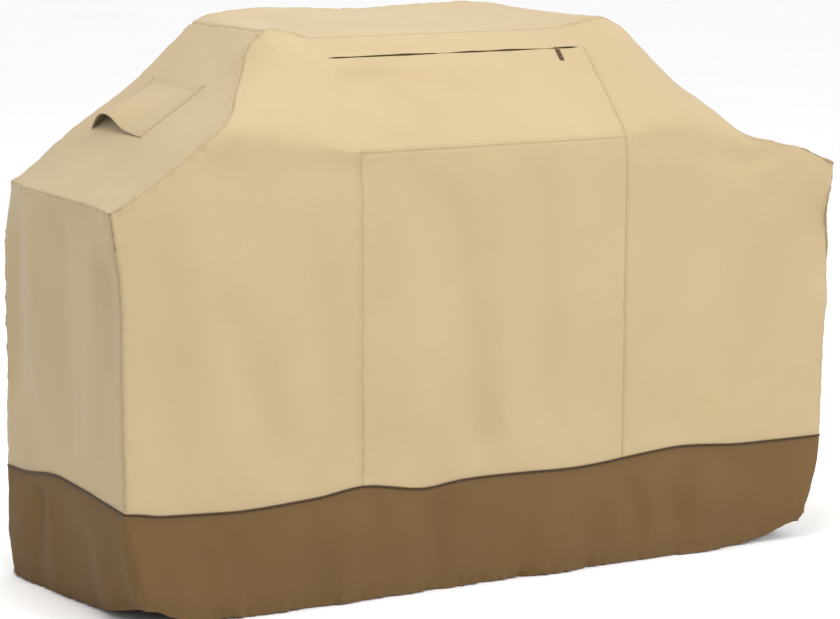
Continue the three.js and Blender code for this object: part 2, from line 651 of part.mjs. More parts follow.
function socketGeometry() {
  const top = -STRAP.length - 0.4;
  const low = top - SOCKET.length;
  const body = boxBetween([-SOCKET.halfX, -SOCKET.halfY, low], [SOCKET.halfX, SOCKET.halfY, top]);
  const cavity = boxBetween([-SOCKET.cavityHalfX, -SOCKET.cavityHalfY, low - 1],
    [SOCKET.cavityHalfX, SOCKET.cavityHalfY, low + SOCKET.depth]);
  const windowCut = boxBetween([-2, -SOCKET.halfY - 1, low + 8], [2, SOCKET.halfY + 1, low + 18]);
  return cut(body, cavity, windowCut);
}

function plugGeometry() {
  const top = -STRAP.length - 0.4;
  const base = top - PLUG.base;
  const tip = base - PLUG.prong;
  const outline = new THREE.Shape([
    [-PLUG.halfY, top], [-PLUG.halfY, base], [-10.5, base], [-11.5, tip + 8], [-12.6, tip + 8],
    [-10, tip], [-7.5, tip], [-8, base], [-1.8, base], [-1.8, tip + 3], [1.8, tip + 3], [1.8, base],
    [8, base], [7.5, tip], [10, tip], [12.6, tip + 8], [11.5, tip + 8], [10.5, base],
    [PLUG.halfY, base], [PLUG.halfY, top],
  ].map(([y, z]) => new THREE.Vector2(y, z)));
  const geometry = new THREE.ExtrudeGeometry(outline, { depth: PLUG.thick, bevelEnabled: false });
  geometry.translate(0, 0, -PLUG.thick / 2);
  geometry.rotateX(Math.PI / 2);
  geometry.rotateZ(Math.PI / 2);
  return geometry;
}

for (const [word, side] of SIDES) {
  const wallX = halfLengthAt(STRAP.z) - CLOTH;
  for (const [half, sign] of [['socket', -1], ['plug', 1]]) {
    const strap = new THREE.Group();
    strap.position.set(side * (wallX - STRAP.pivot), sign * STRAP.y, STRAP.z);
    strap.rotation.y = side * skirtLean;
    group.add(strap);
    const web = boxBetween([-STRAP.thick / 2, -STRAP.halfWidth, -STRAP.length],
      [STRAP.thick / 2, STRAP.halfWidth, -STRAP.clearance]);
    addPart(`strap_${half}_${word}`, web, 'webbing', strap);
    const buckle = half === 'socket' ? socketGeometry() : plugGeometry();
    addPart(`buckle_${half}_${word}`, buckle, 'plastic', strap);
    const wallSide = STRAP.pivot - ANCHOR.short;
    const anchor = boxBetween([-ANCHOR.behind, -ANCHOR.halfY, ANCHOR.low],
      [wallSide, ANCHOR.halfY, ANCHOR.high]);
    if (side < 0) anchor.translate(ANCHOR.behind - wallSide, 0, 0);
    addPart(`strap_anchor_${half}_${word}`, anchor, 'webbing', strap);
  }
}

export default group;
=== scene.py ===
"""Looks of a fitted grill cover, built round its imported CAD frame. Metres, +Z up, front at -Y."""
import json
import math

import bmesh
import bpy
import numpy as np
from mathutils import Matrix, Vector
from mathutils.bvhtree import BVHTree
from mathutils.kdtree import KDTree


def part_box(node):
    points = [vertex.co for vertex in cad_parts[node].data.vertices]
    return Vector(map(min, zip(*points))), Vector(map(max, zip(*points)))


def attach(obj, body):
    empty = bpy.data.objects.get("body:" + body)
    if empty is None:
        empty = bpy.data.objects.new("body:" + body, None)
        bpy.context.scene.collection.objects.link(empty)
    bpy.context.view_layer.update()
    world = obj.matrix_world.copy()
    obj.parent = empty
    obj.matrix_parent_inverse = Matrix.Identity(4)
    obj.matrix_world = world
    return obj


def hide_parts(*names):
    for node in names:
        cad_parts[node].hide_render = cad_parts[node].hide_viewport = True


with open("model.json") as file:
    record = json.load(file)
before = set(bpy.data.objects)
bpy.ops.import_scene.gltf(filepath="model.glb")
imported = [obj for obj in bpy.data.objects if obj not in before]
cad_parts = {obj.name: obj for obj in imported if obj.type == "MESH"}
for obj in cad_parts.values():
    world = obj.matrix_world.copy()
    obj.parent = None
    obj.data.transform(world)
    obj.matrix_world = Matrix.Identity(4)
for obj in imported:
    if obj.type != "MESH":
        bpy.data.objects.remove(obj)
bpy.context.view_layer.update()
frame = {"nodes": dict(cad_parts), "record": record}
rng = np.random.default_rng(7)

# ---- sizes from the frame -----------------------------------------------------------------
SEAM_GAP = 0.00025
HALF_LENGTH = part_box("end_right_panel")[1][0]
SHELF_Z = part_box("end_right_panel")[1][2] + SEAM_GAP
PIPING_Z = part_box("skirt_front_panel")[1][2] + SEAM_GAP
HALF_LENGTH_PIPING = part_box("skirt_right_panel")[1][0]
HALF_DEPTH_PIPING = -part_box("skirt_front_panel")[0][1]
HALF_DEPTH = -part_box("front_centre_panel")[0][1]
CASING_INSET = 0.0034
HALF_LENGTH_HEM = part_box("hem_casing_right")[1][0] + CASING_INSET
HALF_DEPTH_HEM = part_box("hem_casing_back")[1][1] + CASING_INSET
CENTRE_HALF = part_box("front_centre_panel")[1][0] + SEAM_GAP
CREASE_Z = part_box("front_centre_panel")[1][2] + SEAM_GAP
BACK_TOP_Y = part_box("top_panel")[1][1]
TOP_SPLIT_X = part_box("top_panel")[1][0] + SEAM_GAP
FLAP_TOP = Vector((0, -0.075, 1.190))     # the seam over the zip's flap
SLOT = Vector((0, -0.138, 1.152))         # the zip's line
FOLD_END = Vector((0.640, 0, 1.039))      # where the hood's crease runs out at the shoulder seam
PIPING_RADIUS = 0.0026
CASING_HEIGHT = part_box("hem_casing_front")[1][2]

# The seam where the front meets the top and the shoulder, and the back wall's top edge,
# from the middle outwards: the same outlines as the CAD panels.
FRONT_SEAM = np.array([
    [0, -75, 1190], [330, -75, 1190], [413, -78, 1222], [470, -82, 1166], [540, -150, 1102],
    [600, -262, 1058], [640, -308, 1039], [697, -312, 998], [805, -316, 922], [863, -318, 886],
    [889, -320, 878]]) / 1000
BACK_EDGE = np.array([
    [0, 1223], [251, 1234], [382, 1225], [427, 1206], [501, 1135], [576, 1072], [697, 998],
    [805, 922], [863, 886], [889, 878]]) / 1000

# ---- camera -------------------------------------------------------------------------------
CAMERA_AZIMUTH = math.radians(-29.93)
CAMERA_ELEVATION = math.radians(9.293)
CAMERA_DISTANCE = 6.748
CAMERA_TARGET = Vector((-0.0095, 0.0, 0.565))
CAMERA_LENS = 128.57
CAMERA_SENSOR = 36


def linked(name, data):
    """A new object in the scene."""
    obj = bpy.data.objects.new(name, data)
    bpy.context.collection.objects.link(obj)
    return obj


def add_camera():
    data = bpy.data.cameras.new("camera")
    data.lens = CAMERA_LENS
    data.sensor_width = CAMERA_SENSOR
    data.clip_end = 100
    camera = linked("camera", data)
    level = math.cos(CAMERA_ELEVATION)
    toward = Vector((math.sin(CAMERA_AZIMUTH) * level, -math.cos(CAMERA_AZIMUTH) * level,
                     math.sin(CAMERA_ELEVATION)))
    camera.location = CAMERA_TARGET + toward * CAMERA_DISTANCE
    camera.rotation_euler = (-toward).to_track_quat("-Z", "Y").to_euler()
    bpy.context.scene.camera = camera


add_camera()


# ---- the cover's surface as one grid ------------------------------------------------------
def stops(breaks, step, fine):
    """Stations from the first break to the last, close together beside each break."""
    found = []
    for low, high in zip(breaks[:-1], breaks[1:]):
        count = max(int(round((high - low - 2 * fine) / step)), 1)
        found += [low, *np.linspace(low + fine, high - fine, count + 1)]
    return np.array(found + [breaks[-1]])


def smooth_table(table, x, reach):
    """The table's columns at |x|, with its corners rounded over a reach."""
    taps = np.linspace(-1, 1, 9)
    weights = 1 - taps ** 2 + 0.02
    away = np.abs(x)
    result = []
    for column in range(1, table.shape[1]):
        total = 0
        for tap, weight in zip(taps, weights):
            spot = np.abs(away + tap * reach)
            inside = np.interp(spot, table[:, 0], table[:, column])
            slope = (table[-1, column] - table[-2, column]) / (table[-1, 0] - table[-2, 0])
            beyond = table[-1, column] + (spot - table[-1, 0]) * slope
            total = total + weight * np.where(spot > table[-1, 0], beyond, inside)
        result.append(total / weights.sum())
    return result


def half_length_at(z):
    return np.interp(z, [0, PIPING_Z, SHELF_Z], [HALF_LENGTH_HEM, HALF_LENGTH_PIPING, HALF_LENGTH])


def section(x):
    """Front section points [x, place, (y, z)] from hem to seam, and the back rim's z."""
    seam_y, seam_z = smooth_table(FRONT_SEAM, x, 0.022)
    (rim_z,) = smooth_table(BACK_EDGE, x, 0.03)
    away = np.abs(x)
    t = np.clip((away - CENTRE_HALF) / (FOLD_END.x - CENTRE_HALF), 0, 1)
    crease_z = np.minimum(CREASE_Z + (FOLD_END.z - CREASE_Z) * t, seam_z - 0.012)
    share = (SLOT.y + HALF_DEPTH) / (FLAP_TOP.y + HALF_DEPTH)
    crown = (SLOT.z - (CREASE_Z + (FLAP_TOP.z - CREASE_Z) * share)) * (1 - t)
    slot_y = -HALF_DEPTH + (seam_y + HALF_DEPTH) * share
    slot_z = crease_z + (seam_z - crease_z) * share + crown
    full = np.ones_like(away)
    points = [(-HALF_DEPTH_HEM * full, 0 * full), (-HALF_DEPTH_PIPING * full, PIPING_Z * full),
              (-HALF_DEPTH * full, crease_z), (slot_y, slot_z), (seam_y, seam_z)]
    return np.stack([np.stack(pair, axis=-1) for pair in points], axis=1), rim_z


def along(polyline, fractions):
    """Points of a polyline at fractions of its length."""
    lengths = np.hypot(*np.diff(polyline, axis=0).T)
    at = np.concatenate([[0], np.cumsum(lengths)]) / lengths.sum()
    return np.stack([np.interp(fractions, at, polyline[:, k]) for k in range(2)], axis=-1)


def smoothstep(t):
    t = np.clip(t, 0, 1)
    return t * t * (3 - 2 * t)


class Grid:
    """The cover as patches that share their edge vertices."""

    def __init__(self, step, fine):
        self.xs = stops([-HALF_LENGTH, -TOP_SPLIT_X, -CENTRE_HALF, CENTRE_HALF, TOP_SPLIT_X,
                         HALF_LENGTH], step, fine)
        outline, rim_z = section(np.array([0.0]))
        lengths = np.hypot(*np.diff(outline[0], axis=0).T)
        upper = np.concatenate([[0], np.cumsum(lengths[1:])])
        aligned = stops(upper, step, fine) / upper[-1]
        height = SHELF_Z - PIPING_Z
        even = np.linspace(fine / height, 1 - fine / height, len(aligned) - 2)
        even = np.concatenate([[0], even, [1]])
        skirt = stops([0, CASING_HEIGHT, PIPING_Z], step * 0.8, fine) / PIPING_Z
        self.piping_row = len(skirt) - 1
        self.crease_row = self.piping_row + int(np.argmin(abs(aligned - upper[1] / upper[-1])))
        self.slot_row = self.piping_row + int(np.argmin(abs(aligned - upper[2] / upper[-1])))
        self.casing_row = int(np.argmin(abs(skirt * PIPING_Z - CASING_HEIGHT)))
        depth = BACK_TOP_Y + HALF_DEPTH
        self.ts = stops([0, depth], step, fine) / depth
        outlines, rims = section(self.xs)
        front, back = [], []
        for x, line, rim in zip(self.xs, outlines, rims):
            part = smoothstep((abs(x) - CENTRE_HALF) / (FOLD_END.x - CENTRE_HALF))
            rows = along(line[1:], aligned * (1 - part) + even * part)
            low = line[0] + (line[1] - line[0]) * skirt[:, None]
            front.append(np.vstack([low, rows[1:]]))
            foot, waist = np.array([HALF_DEPTH_HEM, 0]), np.array([HALF_DEPTH_PIPING, PIPING_Z])
            top = np.array([BACK_TOP_Y, rim])
            wall = waist + (top - waist) * even[1:, None]
            back.append(np.vstack([foot + (waist - foot) * skirt[:, None], wall]))
        lean = lambda x, yz: np.concatenate(
            [np.broadcast_to(x[:, None], yz.shape[:2])[..., None], yz], axis=-1)
        front, back = lean(self.xs, np.array(front)), lean(self.xs, np.array(back))
        ts = self.ts[None, :, None]
        top = front[:, -1:, :] * (1 - ts) + back[:, -1:, :] * ts
        ends = {}
        for name, column in (("left", 0), ("right", -1)):
            ts = self.ts[:, None, None]
            ends[name] = front[column][None] * (1 - ts) + back[column][None] * ts
        patches = {"front": front, "back": back, "top": top, **ends}
        for grid in patches.values():
            grid[..., 0] *= half_length_at(grid[..., 2]) / HALF_LENGTH
        self.merge(patches)

    def merge(self, patches):
        flat = np.vstack([grid.reshape(-1, 3) for grid in patches.values()])
        keys = np.round(flat * 1e5).astype(np.int64)
        _, first, index = np.unique(keys, axis=0, return_index=True, return_inverse=True)
        order = np.argsort(first)
        rank = np.empty_like(order)
        rank[order] = np.arange(len(order))
        self.points = flat[first[order]]
        index = rank[index.ravel()]
        self.index, start = {}, 0
        for name, grid in patches.items():
            size = grid.shape[0] * grid.shape[1]
            self.index[name] = index[start:start + size].reshape(grid.shape[:2])
            start += size

    def faces(self):
        """Quads with their panel's name and each corner's place in the flat pattern."""
        quads, names, places = [], [], []
        for name, ids in self.index.items():
            flip = name in ("back", "left")
            grid = self.points[ids]
            across = np.linalg.norm(np.diff(grid, axis=0), axis=-1).mean(axis=1)
            down = np.linalg.norm(np.diff(grid, axis=1), axis=-1)
            u = np.concatenate([[0], np.cumsum(across)])
            v = np.concatenate([np.zeros((len(ids), 1)), np.cumsum(down, axis=1)], axis=1)
            for i in range(ids.shape[0] - 1):
                for j in range(ids.shape[1] - 1):
                    corners = [(i, j), (i + 1, j), (i + 1, j + 1), (i, j + 1)]
                    if flip:
                        corners.reverse()
                    quads.append([ids[c] for c in corners])
                    places.append([(u[a], v[a, b]) for a, b in corners])
                    names.append(self.panel(name, i, j))
        return quads, names, places

    def panel(self, patch, i, j):
        if patch != "top" and j < self.piping_row:
            return "skirt"
        if patch in ("left", "right"):
            return "end_" + patch
        x = (self.xs[i] + self.xs[i + 1]) / 2
        side = "left" if x < 0 else "right"
        if patch == "top":
            return "top" if abs(x) < TOP_SPLIT_X else "shoulder_" + side
        if abs(x) > CENTRE_HALF:
            return f"{patch}_{side}"
        if patch == "back" or j < self.crease_row:
            return patch + "_centre"
        return "hood_front" if j < self.slot_row else "hood_band"


cover = Grid(0.012, 0.004)
quads, quad_panels, quad_places = cover.faces()


# ---- helpers on point arrays --------------------------------------------------------------
COVER_MIDDLE = (0, 0, 0.6)


def vertex_normals(points, faces):
    diagonal_a = points[faces[:, 2]] - points[faces[:, 0]]
    diagonal_b = points[faces[:, 3]] - points[faces[:, 1]]
    flat = np.cross(diagonal_a, diagonal_b)
    normals = np.zeros_like(points)
    for corner in range(4):
        np.add.at(normals, faces[:, corner], flat)
    return normals / np.maximum(np.linalg.norm(normals, axis=1, keepdims=True), 1e-12)


def new_object(name, points, faces):
    mesh = bpy.data.meshes.new(name)
    mesh.from_pydata([tuple(p) for p in points], [], [tuple(int(k) for k in f) for f in faces])
    mesh.validate()
    return linked(name, mesh)


def outward(points, faces):
    """The faces and the points' normals, all turned over if they look inwards."""
    normals = vertex_normals(points, faces)
    if np.sum(normals * (points - COVER_MIDDLE)) < 0:
        return faces[:, ::-1], -normals
    return faces, normals


def bell(distance, width):
    """1 at no distance, fading smoothly over a width."""
    return np.exp(-(distance / width) ** 2)


def arc_lengths(path):
    """Distance along a path to each of its points."""
    return np.concatenate([[0], np.cumsum(np.linalg.norm(np.diff(path, axis=0), axis=1))])


def sampled(values, lengths, at):
    """Rows of values, given at lengths along a path, read off at other lengths."""
    return np.stack([np.interp(at, lengths, values[:, k]) for k in range(3)], axis=-1)


def lay_pattern(obj, places):
    """Gives each face corner its place in the flat pattern, as UV."""
    layer = obj.data.uv_layers.new(name="pattern")
    layer.data.foreach_set("uv", np.array(places, float).reshape(-1))


# ---- cloth simulation ---------------------------------------------------------------------
SIM_FRAMES = 26
SIM_JITTER = 0.0012
CLOTH_SETTINGS = {
    "quality": 5, "mass": 0.25, "tension_stiffness": 25, "compression_stiffness": 12,
    "shear_stiffness": 4, "bending_stiffness": 0.8, "air_damping": 2, "vertex_group_mass": "pins",
    "pin_stiffness": 1, "vertex_group_shrink": "fullness", "shrink_min": 0, "shrink_max": -0.12,
}


def skin(grid, offset_at):
    """The grid's own points moved along their normals by offset_at(points)."""
    faces, normals = outward(grid.points, np.array(grid.faces()[0]))
    return grid.points + normals * offset_at(grid.points)[:, None], faces


def add_collider(name, points, faces):
    collider = new_object(name, points, faces)
    collider.modifiers.new("Collision", "COLLISION")
    collider.collision.thickness_outer = 0.003
    collider.collision.cloth_friction = 12
    return collider


def simulate(points, faces, keep):
    """Lets the cloth settle over a grill-shaped form, with a full hem held between two walls."""
    coarse = Grid(0.05, 0.02)
    slack = lambda p: np.interp(p[:, 2], [0, PIPING_Z, SHELF_Z], [-0.022, -0.010, -0.009])
    form = add_collider("form", *skin(coarse, slack))
    outer_points, outer_faces = skin(coarse, lambda p: np.interp(p[:, 2], [0, PIPING_Z],
                                                                 [0.020, 0.006]))
    low = np.all(outer_points[outer_faces][..., 2] < PIPING_Z - 0.03, axis=1)
    fence = add_collider("fence", outer_points, outer_faces[low][:, ::-1])
    ground = add_collider("ground", [(-2, -2, 0), (2, -2, 0), (2, 2, 0), (-2, 2, 0)],
                          [(0, 1, 2, 3)])
    jitter = rng.normal(0, SIM_JITTER, points.shape) * (1 - keep)[:, None]
    cloth_object = new_object("cloth_sim", points + jitter, faces)
    pins = cloth_object.vertex_groups.new(name="pins")
    fullness = cloth_object.vertex_groups.new(name="fullness")
    ease = np.interp(points[:, 2], [0, 0.05, PIPING_Z, PIPING_Z + 0.05], [1, 0.9, 0.12, 0.12])
    for k in range(len(points)):
        pins.add([k], float(keep[k]), "REPLACE")
        fullness.add([k], float(ease[k]), "REPLACE")
    modifier = cloth_object.modifiers.new("Cloth", "CLOTH")
    for name, value in CLOTH_SETTINGS.items():
        setattr(modifier.settings, name, value)
    modifier.settings.effector_weights.gravity = 0.3
    modifier.collision_settings.distance_min = 0.004
    modifier.collision_settings.use_self_collision = False
    modifier.point_cache.frame_start = 1
    modifier.point_cache.frame_end = SIM_FRAMES
    scene = bpy.context.scene
    scene.frame_start, scene.frame_end = 1, SIM_FRAMES
    for number in range(1, SIM_FRAMES + 1):
        scene.frame_set(number)
    settled = cloth_object.evaluated_get(bpy.context.evaluated_depsgraph_get()).to_mesh()
    result = np.empty(len(points) * 3)
    settled.vertices.foreach_get("co", result)
    scene.frame_set(1)
    for helper in (cloth_object, form, fence, ground):
        bpy.data.objects.remove(helper, do_unlink=True)
    return result.reshape(-1, 3)


points = cover.points
FACES, _ = outward(points, np.array(quads))
if FACES[0, 0] != quads[0][0]:
    quad_places = [place[::-1] for place in quad_places]

# The cloth round the zip stays where the zip is, and the rest is held only lightly.
above = smoothstep((points[:, 2] - CREASE_Z - 0.10) / 0.08)
middle = smoothstep((CENTRE_HALF + 0.04 - np.abs(points[:, 0])) / 0.04)
hood = smoothstep((0.02 - points[:, 1]) / 0.08)
waist = bell(points[:, 2] - PIPING_Z, 0.02)
zip_hold = above * middle * hood
keep = np.maximum(zip_hold, np.where(points[:, 2] > PIPING_Z, 0.02, 0) + 0.1 * waist)
points = simulate(points, FACES, keep)


CREEP_KEPT = 0.15
SINK_LIMIT, SWELL_LIMIT = -0.006, 0.014


def settle(base, moved):
    """The simulated drape, without its downward creep and kept from sinking far into the form."""
    shift = moved - base
    shift[:, 2] *= CREEP_KEPT
    n = vertex_normals(base, FACES)
    out = np.sum(shift * n, axis=1)
    limited = np.clip(out, SINK_LIMIT, SWELL_LIMIT)
    return base + shift + n * (limited - out)[:, None]


points = settle(cover.points, points)


# ---- sculpting ----------------------------------------------------------------------------
def fold(p, n, a, b, width, height):
    """A soft valley (height below 0) or ridge along a segment, fading past its ends."""
    a, b = np.array(a, float), np.array(b, float)
    t = np.clip(((p - a) @ (b - a)) / ((b - a) @ (b - a)), 0, 1)
    distance = np.linalg.norm(p - a - t[:, None] * (b - a), axis=1)
    return p + n * (height * bell(distance, width))[:, None]


# The four walls: the axis each one faces, and where it stands on that axis.
FRONT, BACK = (1, -HALF_DEPTH), (1, HALF_DEPTH)
LEFT, RIGHT = (0, -HALF_LENGTH), (0, HALF_LENGTH)


def on_wall(wall, *rows):
    """Folds on an upright wall, from rows of (along, up, along, up, width, height)."""
    axis, place = wall
    for a, up_a, b, up_b, width, height in rows:
        ends = [(a, up_a), (b, up_b)]
        yield (*[np.insert(end, axis, place) for end in ends], width, height)


# Soft valleys and ridges: from, to, width, height.
FOLDS = [
    *on_wall(FRONT,
             (-0.12, 0.84, -0.05, 0.34, 0.045, -0.015), (0.105, 0.88, 0.13, 0.38, 0.04, -0.014),
             (0.01, 0.90, 0.03, 0.30, 0.035, 0.010), (-0.24, 0.82, -0.20, 0.40, 0.05, 0.008),
             (0.84, 0.76, 0.50, 0.31, 0.065, -0.024), (0.86, 0.56, 0.64, 0.29, 0.05, 0.010),
             (0.66, 0.80, 0.42, 0.44, 0.06, 0.007), (0.85, 0.90, 0.73, 0.80, 0.028, -0.009),
             (0.86, 0.82, 0.80, 0.64, 0.022, -0.007), (0.60, 0.38, 0.57, 0.29, 0.018, -0.005),
             (0.65, 0.37, 0.63, 0.29, 0.016, -0.004), (-0.64, 0.64, -0.54, 0.34, 0.045, -0.012),
             (-0.47, 0.78, -0.40, 0.46, 0.05, -0.009), (-0.70, 0.96, -0.34, 0.935, 0.035, -0.009),
             (0.36, 0.955, 0.72, 0.95, 0.03, -0.008), (-0.72, 0.84, -0.66, 0.42, 0.06, 0.008),
             (-0.78, 0.70, -0.80, 0.30, 0.05, -0.006)),
    *on_wall(LEFT,
             (-0.262, 0.75, -0.268, 0.56, 0.024, -0.012), (-0.20, 0.78, -0.17, 0.35, 0.04, 0.008),
             (-0.02, 0.80, -0.03, 0.35, 0.05, -0.010), (0.14, 0.82, 0.10, 0.45, 0.04, 0.008),
             (0.24, 0.75, 0.26, 0.45, 0.05, -0.018)),
    ((-0.29, -0.175, 1.114), (-0.13, -0.235, 1.053), 0.028, -0.0135),
    ((-0.31, -0.205, 1.083), (-0.16, -0.262, 1.025), 0.028, -0.0125),
    ((-0.25, -0.160, 1.129), (-0.02, -0.215, 1.073), 0.026, -0.0090),
    ((0.02, -0.190, 1.099), (0.24, -0.250, 1.038), 0.045, -0.0040),
    ((-0.46, -0.10, 1.17), (-0.39, 0.05, 1.215), 0.020, -0.007),
    ((-0.49, 0.04, 1.15), (-0.44, 0.20, 1.19), 0.018, -0.006),
    ((0.46, -0.06, 1.17), (0.50, 0.16, 1.14), 0.022, -0.006),
    ((-0.80, -0.20, 0.935), (-0.74, 0.20, 0.97), 0.05, -0.006),
    ((0.78, -0.22, 0.945), (0.72, 0.20, 0.985), 0.05, -0.007),
    *on_wall(RIGHT,
             (-0.22, 0.84, -0.22, 0.55, 0.07, -0.014), (-0.08, 0.80, -0.06, 0.35, 0.05, -0.012),
             (0.12, 0.78, 0.15, 0.40, 0.05, -0.008)),
]


def ripple(s, waves, seed):
    """A wandering wave along a length: uneven gathers rather than a regular ruffle."""
    source = np.random.default_rng(seed)
    total = np.zeros_like(s)
    for length, size in waves:
        phase, drift = source.uniform(0, 2 * math.pi, 2)
        bend = 0.9 * np.sin(2 * math.pi * s / (length * 3.7) + drift)
        total += size * np.sin(2 * math.pi * s / length + phase + bend)
    return total


def perimeter_of(p):
    """Distance round the cover of each point, starting at the front left corner."""
    x, y = p[:, 0], p[:, 1]
    size_x, size_y = HALF_LENGTH, HALF_DEPTH
    side = np.argmin(np.stack([y + size_y, size_x - x, size_y - y, x + size_x]), axis=0)
    lengths = [x + size_x, 2 * size_x + y + size_y, 4 * size_x + 2 * size_y - (x + size_x),
               4 * size_x + 4 * size_y - (y + size_y)]
    return np.choose(side, lengths)


# Where the front's seams and corners pull the piping up, or let it sag: place, width, height.
PIPING_LIFTS = [(-0.88, 0.06, 0.013), (-0.335, 0.07, 0.012), (0.47, 0.16, 0.011),
                (-0.60, 0.13, -0.009), (-0.18, 0.06, -0.010), (0.20, 0.12, -0.006)]

# Distinct folds in the skirt: from, to, width, height.
SKIRT_FOLDS = [
    *on_wall(LEFT,
             (0.12, 0.20, 0.14, 0.00, 0.020, -0.016), (0.07, 0.19, 0.08, 0.00, 0.025, 0.008),
             (-0.09, 0.15, -0.10, 0.00, 0.020, -0.005)),
    *on_wall(FRONT,
             (-0.70, 0.15, -0.685, 0.01, 0.018, -0.009), (-0.65, 0.18, -0.60, 0.02, 0.020, -0.008),
             (-0.665, 0.16, -0.645, 0.01, 0.020, 0.007), (-0.44, 0.12, -0.45, 0.00, 0.022, -0.006),
             (-0.30, 0.20, -0.33, 0.00, 0.026, -0.008), (-0.15, 0.22, -0.13, 0.02, 0.030, -0.009),
             (0.02, 0.12, 0.03, 0.00, 0.018, -0.006), (0.355, 0.17, 0.385, 0.08, 0.018, -0.011),
             (0.385, 0.08, 0.345, 0.01, 0.018, -0.010), (0.51, 0.21, 0.47, 0.10, 0.026, -0.009),
             (0.50, 0.08, 0.52, 0.02, 0.015, -0.008), (0.56, 0.07, 0.59, 0.03, 0.014, -0.006),
             (0.69, 0.10, 0.665, 0.02, 0.018, -0.007)),
    *on_wall(RIGHT,
             (-0.14, 0.17, -0.16, 0.01, 0.022, -0.006), (0.20, 0.20, 0.18, 0.01, 0.024, -0.010)),
    *on_wall(BACK,
             (-0.55, 0.20, -0.52, 0.01, 0.024, -0.009), (-0.30, 0.16, -0.33, 0.01, 0.020, -0.008),
             (0.36, 0.20, 0.33, 0.01, 0.024, -0.009), (0.66, 0.17, 0.69, 0.01, 0.022, -0.008)),
]


# Broad and fine gathers, and the piping's wander: lengths and sizes of their waves.
BROAD_GATHERS = [(0.46, 0.0045), (0.23, 0.0045), (0.13, 0.0035)]
FINE_GATHERS = [(0.081, 0.0050), (0.057, 0.0034)]
PIPING_WANDER = [(0.74, 0.005), (0.39, 0.003)]
BUNCHING = [(0.125, 0.0065), (0.071, 0.0030)]
HEM_CORNER_RISE, HEM_CORNER_DRAW = 0.042, 0.018
# Shelf corners pulled out of square: side, front or back, shift along X, reach in height.
SHELF_PULLS = [(-1, -1, -0.016, 0.09), (1, -1, 0.016, 0.24), (-1, 1, 0.022, 0.09)]
SHOULDER_SAG = 0.075
# The front's two upper corners: side, shift along X, shift along Z.
LOBES = [(-1, -0.026, 0.004), (1, 0.012, 0.012)]
BELLY_LONG, BELLY_END = 0.014, 0.026
SKIRT_FOLD_WIDTH, SKIRT_FOLD_HEIGHT = 0.95, 1.8


